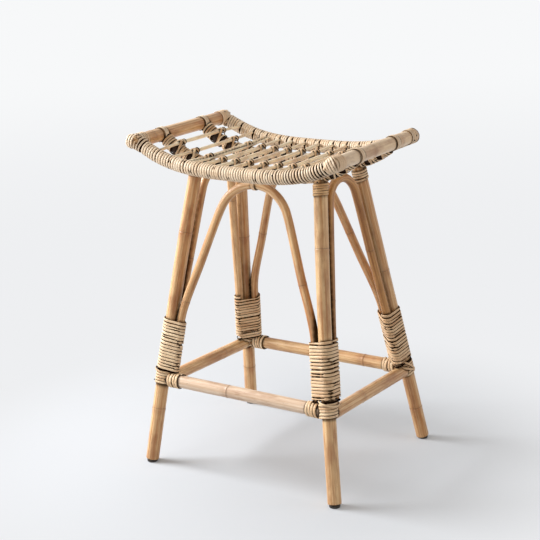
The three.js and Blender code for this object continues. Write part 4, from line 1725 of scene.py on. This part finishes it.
@dataclass
class Rails:
    """The long rails, the binding that covers them and the bound tips of the end poles.

    Places are distances from the middle of the seat, or along a rail from its left end.
    """

    finishes: Finishes
    strand: Strand = Strand(5.0, 2.1, fine=True)
    tip_strand: Strand = Strand(4.9, 1.8, fine=True)
    turn_thickness: float = 1.7
    bound_radius: float = 14.3
    cap_round: float = 9.0
    tips: dict[End, float] = fixed({End.FRONT: 176.0, End.BACK: 163.5})
    rail_at_pole: dict[End, float] = fixed({End.FRONT: 152.0, End.BACK: 147.0})
    corner_y: dict[End, float] = fixed({End.FRONT: 141.0, End.BACK: 133.0})
    corners: dict[tuple[End, Side], Corner] = fixed({
        (End.FRONT, Side.LEFT): Corner(
            turns=((151.2, 5.0), (145.8, 5.0), (140.4, 4.8), (135.4, 4.4)),
            rows=(
                (16.4, 153.4, 13.6), (10.8, 155.6, 13.6), (5.2, 158.0, 13.6), (-0.6, 160.2, 13.6),
                (-6.4, 160.4, 13.4), (-11.6, 160.6, 12.2),
            ),
        ),
        (End.FRONT, Side.RIGHT): Corner(
            turns=((140.4, 7.2), (147.4, 7.2), (154.2, 7.0), (160.8, 6.8)), fan=(1, 11, 20, 28, 35, 42)
        ),
        (End.BACK, Side.LEFT): Corner(
            turns=((127.8, 4.4), (133.6, 7.4), (140.8, 7.4), (148.0, 7.4)), fan=(1, 12, 24, 36)
        ),
        (End.BACK, Side.RIGHT): Corner(
            turns=((127.6, 4.6), (132.2, 4.4), (138.2, 7.4), (145.4, 7.0)), fan=(1, 12, 24, 36)
        ),
    })
    from_pole: float = 10.0
    row_start: float = 4.4
    slat_entry: float = 23.0
    parting_push: dict[End, float] = fixed({End.FRONT: 1.1, End.BACK: 2.3})
    pitch_places: tuple[float, ...] = (0.0, 150.0, 210.0, 330.0, 400.0)
    pitches: dict[End, tuple[float, ...]] = fixed({
        End.FRONT: (6.5, 6.3, 5.4, 5.5, 6.1), End.BACK: (6.0, 5.8, 5.6, 5.6, 5.8)
    })
    covers: dict[End, tuple[float, ...]] = fixed({
        End.FRONT: (0.86, 0.88, 0.94, 0.92, 0.76, 0.68), End.BACK: (0.84, 0.9, 0.94, 0.94, 0.92, 0.86)
    })

    def build(self) -> None:
        """Builds both rails with their bindings."""
        for index, end in enumerate(End):
            route = PLAN.rail_route(end)
            cane = Cane(route, PLAN.rail_radius, (), 500 + index, sides=18)
            rail = f"{end.label}_rail"
            # The rail under its binding takes the dark cane painted as shade, which shows only in the gaps.
            cane.make(f"{rail}_cane", self.finishes.core, rail)
            parts = [self._winding(end, route, 510 + index)]
            for side in Side:
                parts.extend(self._tip(end, side, route, 520 + 40 * index + 20 * side.value))
            finish_piece(parts, f"{rail}_turns", self.finishes.pale_binding, f"{rail}_binding")

    def _pitch(self, end: End, distances: float | Array) -> Array:
        """How far apart the turns lie along a rail: further at the ends of the front one."""
        return np.interp(distances, self.pitch_places, self.pitches[end])

    def _cover(self, end: End, length: float, distances: Array) -> Array:
        """How wide the strand is along a rail, as a share of its own width: loose at the front one's ends."""
        places = [0.0, 95.0, 150.0, 0.66 * length, 0.76 * length, length]
        shares = np.interp(distances, places, self.covers[end])
        return shares * self._pitch(end, distances) / self.strand.width

    def _bunched(self, passes: Array, rng: np.random.Generator) -> Array:
        """Draws turns together in bunches of two to five, which leaves a dark gap after each bunch."""
        drawn = passes.copy()
        first = 0
        while first < len(passes):
            last = min(len(passes), first + int(rng.integers(2, 6)))
            middle = passes[first:last].mean()
            drawn[first:last] = middle + (passes[first:last] - middle) * 0.93
            first = last
        return drawn + rng.normal(0, 0.12, len(drawn))

    def _winding(self, end: End, route: Route, seed: int) -> Piece:
        """Winds a rail from pole to pole, parting the turns at each slat."""
        entry = math.radians(self.slat_entry)
        reference = route.angle_of(math.sin(entry) * AXIS_Z - end.value * math.cos(entry) * AXIS_Y)
        places = [route.where_x(PLAN.slat_crossing(x, PLAN.slat_radius)[0]) for x in PLAN.slat_stations]
        rows = self.corners[(end, Side.LEFT)].rows
        start = rows[0][0] + self.row_start if rows else self.from_pole
        knots = [start, *places, route.length - self.from_pole]
        clocks = [0.0]
        for a, b in zip(knots, knots[1:]):
            clocks.append(clocks[-1] + max(1, round((b - a) / float(self._pitch(end, (a + b) / 2)))))
        even = np.interp(np.arange(0.5, clocks[-1], 1.0), clocks, knots)
        passes = self._bunched(even, np.random.default_rng(seed + 5))
        outline = round_outline(self.bound_radius - self.strand.thickness - 0.1)
        winding = Winding(
            route, outline, self.strand, passes, reference, seed, steps=28, sway=0.3, loose=0.1,
            partings=places, parting_push=self.parting_push[end],
            cover=partial(self._cover, end, route.length), nicks=len(passes) // 3,
        )
        return winding.mesh()

    def _tip(self, end: End, side: Side, route: Route, seed: int) -> list[Piece]:
        """Binds the tip of an end pole: loops over the corner by the rail and turns beside them."""
        corner = self.corners[(end, side)]
        pole = PLAN.pole_point(side, 0.0)
        tangent = route.tangents[0] if side is Side.LEFT else -route.tangents[-1]
        seatward = unit(tangent * (AXIS_X + AXIS_Z))
        outward = end.value * AXIS_Y
        up = np.cross(seatward, outward)
        up = up * (1 if up[2] > 0 else -1)
        loops = self._fan(end, corner.fan, pole, (seatward, outward, up), seed)
        for index, (inward, middle, radius) in enumerate(corner.rows):
            onward = seatward if inward > 0 else -side.value * AXIS_X
            tilt = float(np.clip((inward + 12) / 28, 0, 1))
            centre = pole + outward * middle + onward * inward
            upright = unit(up * tilt + AXIS_Z * (1 - tilt))
            loops.append(Loop(
                centre, outward, upright, round_outline(radius), self.tip_strand, seed + 30 + index, steps=36,
                bulge=0.3, slack=0.1,
            ))
        for index, (place, width) in enumerate(corner.turns):
            loops.append(Loop(
                pole + outward * place, AXIS_X, AXIS_Z, round_outline(PLAN.pole_radius + 0.2),
                Strand(width, self.turn_thickness, fine=True), seed + 12 + index, steps=30, bulge=0.3,
                tone=-1.0 if width > 5 else None, slack=0.1,
            ))
        return [loop.mesh() for loop in loops]

    def _fan(
        self, end: End, fan: Sequence[float], pole: Array, axes: tuple[Array, Array, Array], seed: int
    ) -> list[Loop]:
        """Fans loops out over the tip of a pole from its corner by the rail.

        Args:
            end: which long side of the seat.
            fan: the angles of the loops.
            pole: the middle of the pole.
            axes: the ways along the rail, out along the pole and up.
            seed: what makes their unevenness their own.

        Returns:
            The loops.
        """
        seatward, outward, up = axes
        body = PLAN.pole_radius + 0.1
        pivot = pole + seatward * body + outward * self.corner_y[end]
        limit = 90 - math.degrees(math.atan2(self.tips[end] - self.corner_y[end], 2 * body))
        loops = []
        for index, degrees in enumerate(fan):
            angle = math.radians(degrees)
            across = math.cos(angle) * outward - math.sin(angle) * seatward
            aside = math.sin(angle) * outward + math.cos(angle) * seatward
            handed = 1 if np.cross(across, up).dot(aside) > 0 else -1
            lean = angle if degrees < limit else angle - math.pi / 2
            outline = Outline(tuple(self._fan_section(end, angle, body)))
            loops.append(Loop(
                pivot, across, up, outline, self.tip_strand, seed + index, steps=40, bulge=0.25,
                lean=handed * lean, slack=0.1,
            ))
        return loops

    def _fan_section(self, end: End, angle: float, body: float) -> Iterator[Disc]:
        """Cuts the tip of a pole and the end of its rail by an upright plane through the corner between them.

        Args:
            end: which long side of the seat.
            angle: the angle between the plane and the pole.
            body: the radius of the pole with its clearance.

        Yields:
            Thin upright discs that together have the outline of the section.
        """
        tip = self.tips[end] - self.tip_strand.thickness - 0.1
        corner_y = self.corner_y[end]
        beside = PLAN.rail_radius + 0.7
        far = min((tip - corner_y) / math.cos(angle), 1.96 * body / max(math.sin(angle), 1e-3))
        for reach in np.linspace(0.0, far, 12):
            y = corner_y + reach * math.cos(angle)
            aside = body - reach * math.sin(angle)
            rounding = float(np.clip((y - tip + self.cap_round) / self.cap_round, 0, 1))
            around = body * math.sqrt(1 - (0.8 * rounding) ** 2)
            height = math.sqrt(max(around**2 - aside**2, 0.0))
            if aside > 0:
                height = max(height, math.sqrt(max(beside**2 - (y - self.rail_at_pole[end]) ** 2, 0.0)))
            yield Disc(0.7, float(reach), 0.0, max(height, 0.7))


@dataclass
class Lashings:
    """The strands that lash every slat to the support poles and hold up the peaks of the long hoops.

    A collar is how far behind its crossing it lies, its strand and its tone.
    """

    finishes: Finishes
    hoops: Hoops
    strand: Strand = Strand(4.8, 2.1, fine=True)
    peak_strand: Strand = Strand(4.6, 1.7)
    peak_span: Span = (-13.0, -1.0)
    slant: float = 38.0
    # The second collar has tone 2, which paints it near black as the shade behind the crossing.
    collars: tuple[tuple[float, Strand, float | None], ...] = (
        (7.6, Strand(4.0, 1.7, fine=True), None), (10.6, Strand(2.6, 2.0), 2.0)
    )
    ring_pitch: float = 5.9
    clear_of_slat: float = 7.8
    missing: float = 0.1
    end_gaps: Span = (12.5, 10.5)
    end_pitch: float = 5.8

    def build(self) -> None:
        """Builds the lashings of both support poles."""
        for index, end in enumerate(End):
            self._support_lashing(end, 600 + 100 * index)
            self._peak_lashing(end, 680 + 100 * index)

    def _support_lashing(self, end: End, seed: int) -> None:
        """Lashes every slat to one support pole."""
        route = PLAN.support_route(end)
        loops: list[Loop] = []
        for index, station in enumerate(PLAN.slat_stations):
            loops.extend(self._crossing(route, station, seed + 6 * index))
        loops.extend(self._covering(route, seed + 1000))
        for side in Side:
            loops.extend(self._end_turns(route, side, seed + 84 + 6 * side.value))
        node = f"support_lashing_{end.label}"
        finish_piece([loop.mesh() for loop in loops], f"{node}_turns", self.finishes.leg_binding, node)

    def _crossing(self, route: Route, station: float, seed: int) -> Iterator[Loop]:
        """Crosses two loops over a slat, with a collar and a near-black turn painted as shade behind them."""
        centre, tangent, across, _ = route.at(route.where_x(station))
        up = np.cross(tangent, across)
        support = PLAN.support_radius + 0.5
        slat = PLAN.slat_radius * 0.98 + 0.2
        lift = PLAN.support_radius + PLAN.slat_radius + PLAN.slat_lift
        for turn in (-1, 1):
            angle = math.radians(turn * self.slant)
            plane = math.cos(angle) * across + math.sin(angle) * tangent
            over_slat = Disc(slat / abs(math.sin(angle)), 0.0, lift, slat)
            outline = Outline((Disc(support / math.cos(angle), 0.0, 0.0, support), over_slat))
            yield Loop(centre, plane, up, outline, self.strand, seed + turn + 1, steps=34, bulge=0.4)
        outline = round_outline(slat + 0.2)
        for index, (place, strand, tone) in enumerate(self.collars):
            behind = centre + up * lift + across * place
            yield Loop(behind, tangent, up, outline, strand, seed + 3 + index, steps=20, tone=tone)

    def _covering(self, route: Route, seed: int) -> Iterator[Loop]:
        """Loops single turns round the support pole between the slats, with one missing here and there."""
        rng = np.random.default_rng(seed)
        outline = round_outline(PLAN.support_radius + 0.4)
        for a, b in zip(PLAN.slat_stations, PLAN.slat_stations[1:]):
            low, high = route.where_x(a) + self.clear_of_slat, route.where_x(b) - self.clear_of_slat
            for place in np.linspace(low, high, 1 + round((high - low) / self.ring_pitch)):
                if rng.random() < self.missing:
                    continue
                point, tangent, side, up = route.at(place + rng.normal(0, 0.4))
                lean = rng.normal(0, 0.1)
                across = unit(side * math.cos(lean) + tangent * math.sin(lean))
                yield Loop(point, across, up, outline, self.strand, seed)
                seed += 1

    def _end_turns(self, route: Route, side: Side, seed: int) -> Iterator[Loop]:
        """Loops single turns round the support pole between the band on the end pole and the first slat."""
        first = PLAN.slat_stations[0 if side is Side.LEFT else -1]
        from_pole, from_slat = self.end_gaps
        near = route.where_x(first) + side.value * from_slat
        far = route.where_x(PLAN.pole_place[side][0] - side.value * from_pole)
        outline = round_outline(PLAN.support_radius + 0.5)
        for index, place in enumerate(np.linspace(far, near, 1 + round(abs(far - near) / self.end_pitch))):
            point, _, across, up = route.at(place)
            yield Loop(point, across, up, outline, self.strand, seed + index, bulge=0.9)

    def _peak_lashing(self, end: End, seed: int) -> None:
        """Ties the peak of a long hoop to its support pole."""
        hoop = self.hoops.axis(self.hoops.places[f"{end.label}_hoop"])
        _, peak_y, peak_z = hoop.points[int(hoop.points[:, 2].argmax())]
        y, z = end.value * PLAN.support_y, float(PLAN.support_height(0.0))
        held = Disc(PLAN.hoop_radius + 0.5, float(peak_y - y), float(peak_z - z))
        outline = Outline((Disc(PLAN.support_radius + 0.5), held))
        route = Route.straight(*(np.array([x, y, z]) for x in self.peak_span), AXIS_Y)
        passes = np.linspace(2.0, route.length - 2.0, 3)
        winding = Winding(route, outline, self.peak_strand, passes, math.pi / 2, seed, steps=32)
        node = f"peak_lashing_{end.label}"
        finish_piece([winding.mesh()], f"{node}_turns", self.finishes.leg_binding, node)


@dataclass
class Nails:
    """The small steel heads of the pins that hold the bindings.

    A head on a rail has its place along X and the angle above level that it faces. One on a leg
    has its height, the way that it faces and its reach from the axis. One on an end pole has its
    place along Y, its angle and its reach.
    """

    finishes: Finishes
    radius: float = 1.35
    height: float = 0.9
    rim: float = 0.45
    rail_reach: float = 14.2
    on_rails: tuple[tuple[End, float, float], ...] = (
        (End.FRONT, 92.0, 25.0), (End.FRONT, -150.0, -40.0),
        (End.BACK, -40.0, -10.0), (End.BACK, 120.0, -30.0),
    )
    on_legs: tuple[tuple[Leg, float, tuple[float, float, float], float], ...] = (
        (Leg.FRONT_RIGHT, 612.0, (0.1, -1.0, 0.0), 14.0),
        (Leg.BACK_RIGHT, 590.0, (1.0, -0.35, 0.0), 16.2),
        (Leg.FRONT_RIGHT, 180.0, (0.8, 0.5, 0.0), 19.6),
        (Leg.BACK_RIGHT, 240.0, (-1.0, 0.1, 0.0), 35.4),
        (Leg.BACK_LEFT, 176.0, (-0.6, 0.8, 0.0), 18.4),
        (Leg.FRONT_LEFT, 176.0, (-0.8, -0.6, 0.0), 18.4),
    )
    on_poles: tuple[tuple[Side, float, float, float], ...] = (
        (Side.RIGHT, -128.0, -62.0, 13.8),
        (Side.RIGHT, -120.0, -48.0, 13.8),
        (Side.RIGHT, 133.0, -20.0, 16.1),
        (Side.RIGHT, 141.0, 12.0, 16.1),
        (Side.LEFT, 141.0, 125.0, 16.1),
    )
    on_tip: tuple[tuple[float, float, float], tuple[float, float, float]] = (
        (-13.0, -170.5, -3.0), (-0.45, -0.9, 0.0)
    )

    def build(self) -> None:
        """Sets a head at every place where one shows."""
        heads = [self._head(place, direction) for place, direction in self._places()]
        finish_piece(heads, "nail_heads", self.finishes.steel, None)

    def _places(self) -> Iterator[tuple[Array, Array]]:
        """Where the heads lie and which way they face."""
        for end, x, degrees in self.on_rails:
            angle = math.radians(degrees)
            facing = end.value * math.cos(angle) * AXIS_Y + math.sin(angle) * AXIS_Z
            centre = np.array([x, end.value * PLAN.rail_y, float(PLAN.rail_height(x))])
            yield centre + facing * self.rail_reach, facing
        for leg, z, way, reach in self.on_legs:
            facing = unit(np.array(way))
            yield PLAN.leg_point(leg, z) + facing * reach, facing
        for side, y, degrees, reach in self.on_poles:
            angle = math.radians(degrees)
            facing = side.value * math.cos(angle) * AXIS_X + math.sin(angle) * AXIS_Z
            yield PLAN.pole_point(side, y) + facing * reach, facing
        offset, way = self.on_tip
        yield PLAN.pole_point(Side.LEFT, 0.0) + offset, unit(np.array(way))

    def _head(self, place: Array, facing: Array) -> Piece:
        """Models one head as a low disc with a rounded rim, pushed a little into the cane."""
        deselect_all()
        turn = Vector(facing).to_track_quat("Z", "Y").to_euler()
        bpy.ops.mesh.primitive_cylinder_add(
            vertices=12, radius=self.radius * MM, depth=2 * self.height * MM,
            location=Vector(place * MM) + SHIFT, rotation=turn,
        )
        head = bpy.context.active_object
        bpy.ops.object.transform_apply(location=True, rotation=True, scale=True)
        select_facing(head, Vector(facing), 0.9)
        with edit_mode():
            bpy.ops.mesh.bevel(offset=self.rim * MM, segments=2, affect="EDGES")
        return head


# ---- studio


@dataclass(frozen=True)
class Panel:
    """A square panel of light: its name, place, size, power and colour."""

    name: str
    place: tuple[float, float, float]
    size: float
    watts: float
    tint: tuple[float, float, float]


@dataclass
class Studio:
    """A pale floor that fades into a pale surround, soft light and the camera, in metres.

    A large soft window of light is behind on the left, a weaker one in front and a faint rim on
    the right. The fades give the distances where they start and end.
    """

    floor_colour: Colour = (196, 199, 204)
    floor_glow: Colour = (238, 239, 241)
    surround: Colour = (247, 248, 249)
    floor_radius: float = 16.0
    shadow_fade: Span = (0.14, 0.8)
    floor_fade: Span = (1.5, 6.0)
    panels: tuple[Panel, ...] = (
        Panel("key light", (-2.15, -0.65, 1.6), 1.25, 114.0, (0.955, 0.98, 1.0)),
        Panel("front light", (-1.5, -2.1, 1.5), 1.8, 23.0, (1.0, 0.99, 0.97)),
        Panel("rim light", (2.1, 0.8, 1.2), 1.6, 11.0, (0.97, 0.985, 1.0)),
    )
    aim: tuple[float, float, float] = (0.0, 0.0, 0.35)
    sky: float = 0.36
    sky_tint: tuple[float, float, float, float] = (1.0, 0.925, 0.83, 1.0)
    camera_place: tuple[float, float, float] = (1.443774, -2.249378, 1.169237)
    camera_aim: tuple[float, float, float] = (0.0, -0.04545, 0.409166)
    camera_roll: float = -1.8597
    lens: float = 90.44

    def build(self) -> None:
        """Builds the floor, the light and the camera."""
        self._floor()
        for panel in self.panels:
            self._light(panel)
        self._sky()
        self._camera()

    def _floor(self) -> None:
        """Models the floor as one large round sheet."""
        deselect_all()
        bpy.ops.mesh.primitive_circle_add(vertices=64, radius=self.floor_radius, fill_type="NGON")
        sheet = bpy.context.active_object
        sheet.name = "floor"
        sheet.data.materials.append(self._floor_material())

    def _seen(self, wiring: Wiring) -> Socket:
        """One for the rays that see the surround: from the camera, in a reflection or through glass."""
        path = wiring.node("ShaderNodeLightPath")
        seen = wiring.maths("MAXIMUM", path.outputs["Is Camera Ray"], path.outputs["Is Glossy Ray"])
        return wiring.maths("MAXIMUM", seen, path.outputs["Is Transmission Ray"])

    def _floor_material(self) -> bpy.types.Material:
        """Matt pale paper that keeps the shadow under the stool and fades into the surround far from it."""
        material = bpy.data.materials.new("Studio paper")
        wiring = Wiring.blank(material)
        place = wiring.node("ShaderNodeTexCoord").outputs["Object"]
        away = wiring.node("ShaderNodeVectorMath", {0: place}, operation="LENGTH").outputs["Value"]
        matt = {"Base Color": opaque(self.floor_colour), "Roughness": 0.9}
        paper = wiring.node("ShaderNodeBsdfPrincipled", matt)
        faded = wiring.spread(away, *self.floor_fade)
        horizon = wiring.blend(faded, opaque(self.floor_glow), opaque(self.surround))
        glow = wiring.node("ShaderNodeEmission", {"Color": horizon, "Strength": 1.0})
        share = wiring.maths("MULTIPLY", wiring.spread(away, *self.shadow_fade), self._seen(wiring))
        mixed = wiring.node("ShaderNodeMixShader", {0: share, 1: paper.outputs[0], 2: glow.outputs[0]})
        wiring.node("ShaderNodeOutputMaterial", {"Surface": mixed.outputs[0]})
        return material

    def _sky(self) -> None:
        """Lights the stool evenly from all round, and shows the pale surround behind it."""
        world = bpy.data.worlds.new("Studio sky")
        bpy.context.scene.world = world
        wiring = Wiring.blank(world)
        even = wiring.node("ShaderNodeBackground", {"Color": self.sky_tint, "Strength": self.sky})
        seen = wiring.node("ShaderNodeBackground", {"Color": opaque(self.surround), "Strength": 1.0})
        inputs = {0: self._seen(wiring), 1: even.outputs[0], 2: seen.outputs[0]}
        mixed = wiring.node("ShaderNodeMixShader", inputs)
        wiring.node("ShaderNodeOutputWorld", {"Surface": mixed.outputs[0]})

    def _light(self, panel: Panel) -> None:
        """Adds a panel of light that faces the seat."""
        aim = (Vector(self.aim) - Vector(panel.place)).to_track_quat("-Z", "Y").to_euler()
        bpy.ops.object.light_add(type="AREA", location=panel.place, rotation=aim)
        light = bpy.context.active_object
        light.name = panel.name
        light.data.size = panel.size
        light.data.energy = panel.watts
        light.data.color = panel.tint

    def _camera(self) -> None:
        """Places the camera."""
        place = Vector(self.camera_place)
        turn = (Vector(self.camera_aim) - place).to_track_quat("-Z", "Y").to_matrix().to_4x4()
        roll = Matrix.Rotation(math.radians(self.camera_roll), 4, "Z")
        deselect_all()
        bpy.ops.object.camera_add()
        camera = bpy.context.active_object
        camera.name = "camera"
        camera.matrix_world = Matrix.Translation(place + SHIFT) @ turn @ roll
        camera.data.lens = self.lens
        bpy.context.scene.camera = camera


def main() -> None:
    """Builds the stool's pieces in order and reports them."""
    logging.basicConfig(level=logging.INFO, format="%(message)s")
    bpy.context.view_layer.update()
    finishes = Finishes()
    hoops = Hoops(finishes)
    for assembly in (
        Legs(finishes),
        Rungs(finishes),
        hoops,
        LegBindings(finishes),
        SeatPoles(finishes),
        Slats(finishes),
        Rails(finishes),
        Lashings(finishes, hoops),
        Nails(finishes),
    ):
        LOG.info("building %s", type(assembly).__name__)
        assembly.build()
    BENCH.lay_painted_shade()
    Studio().build()
    bpy.context.scene.view_settings.view_transform = "Standard"


if __name__ == "__main__":
    main()
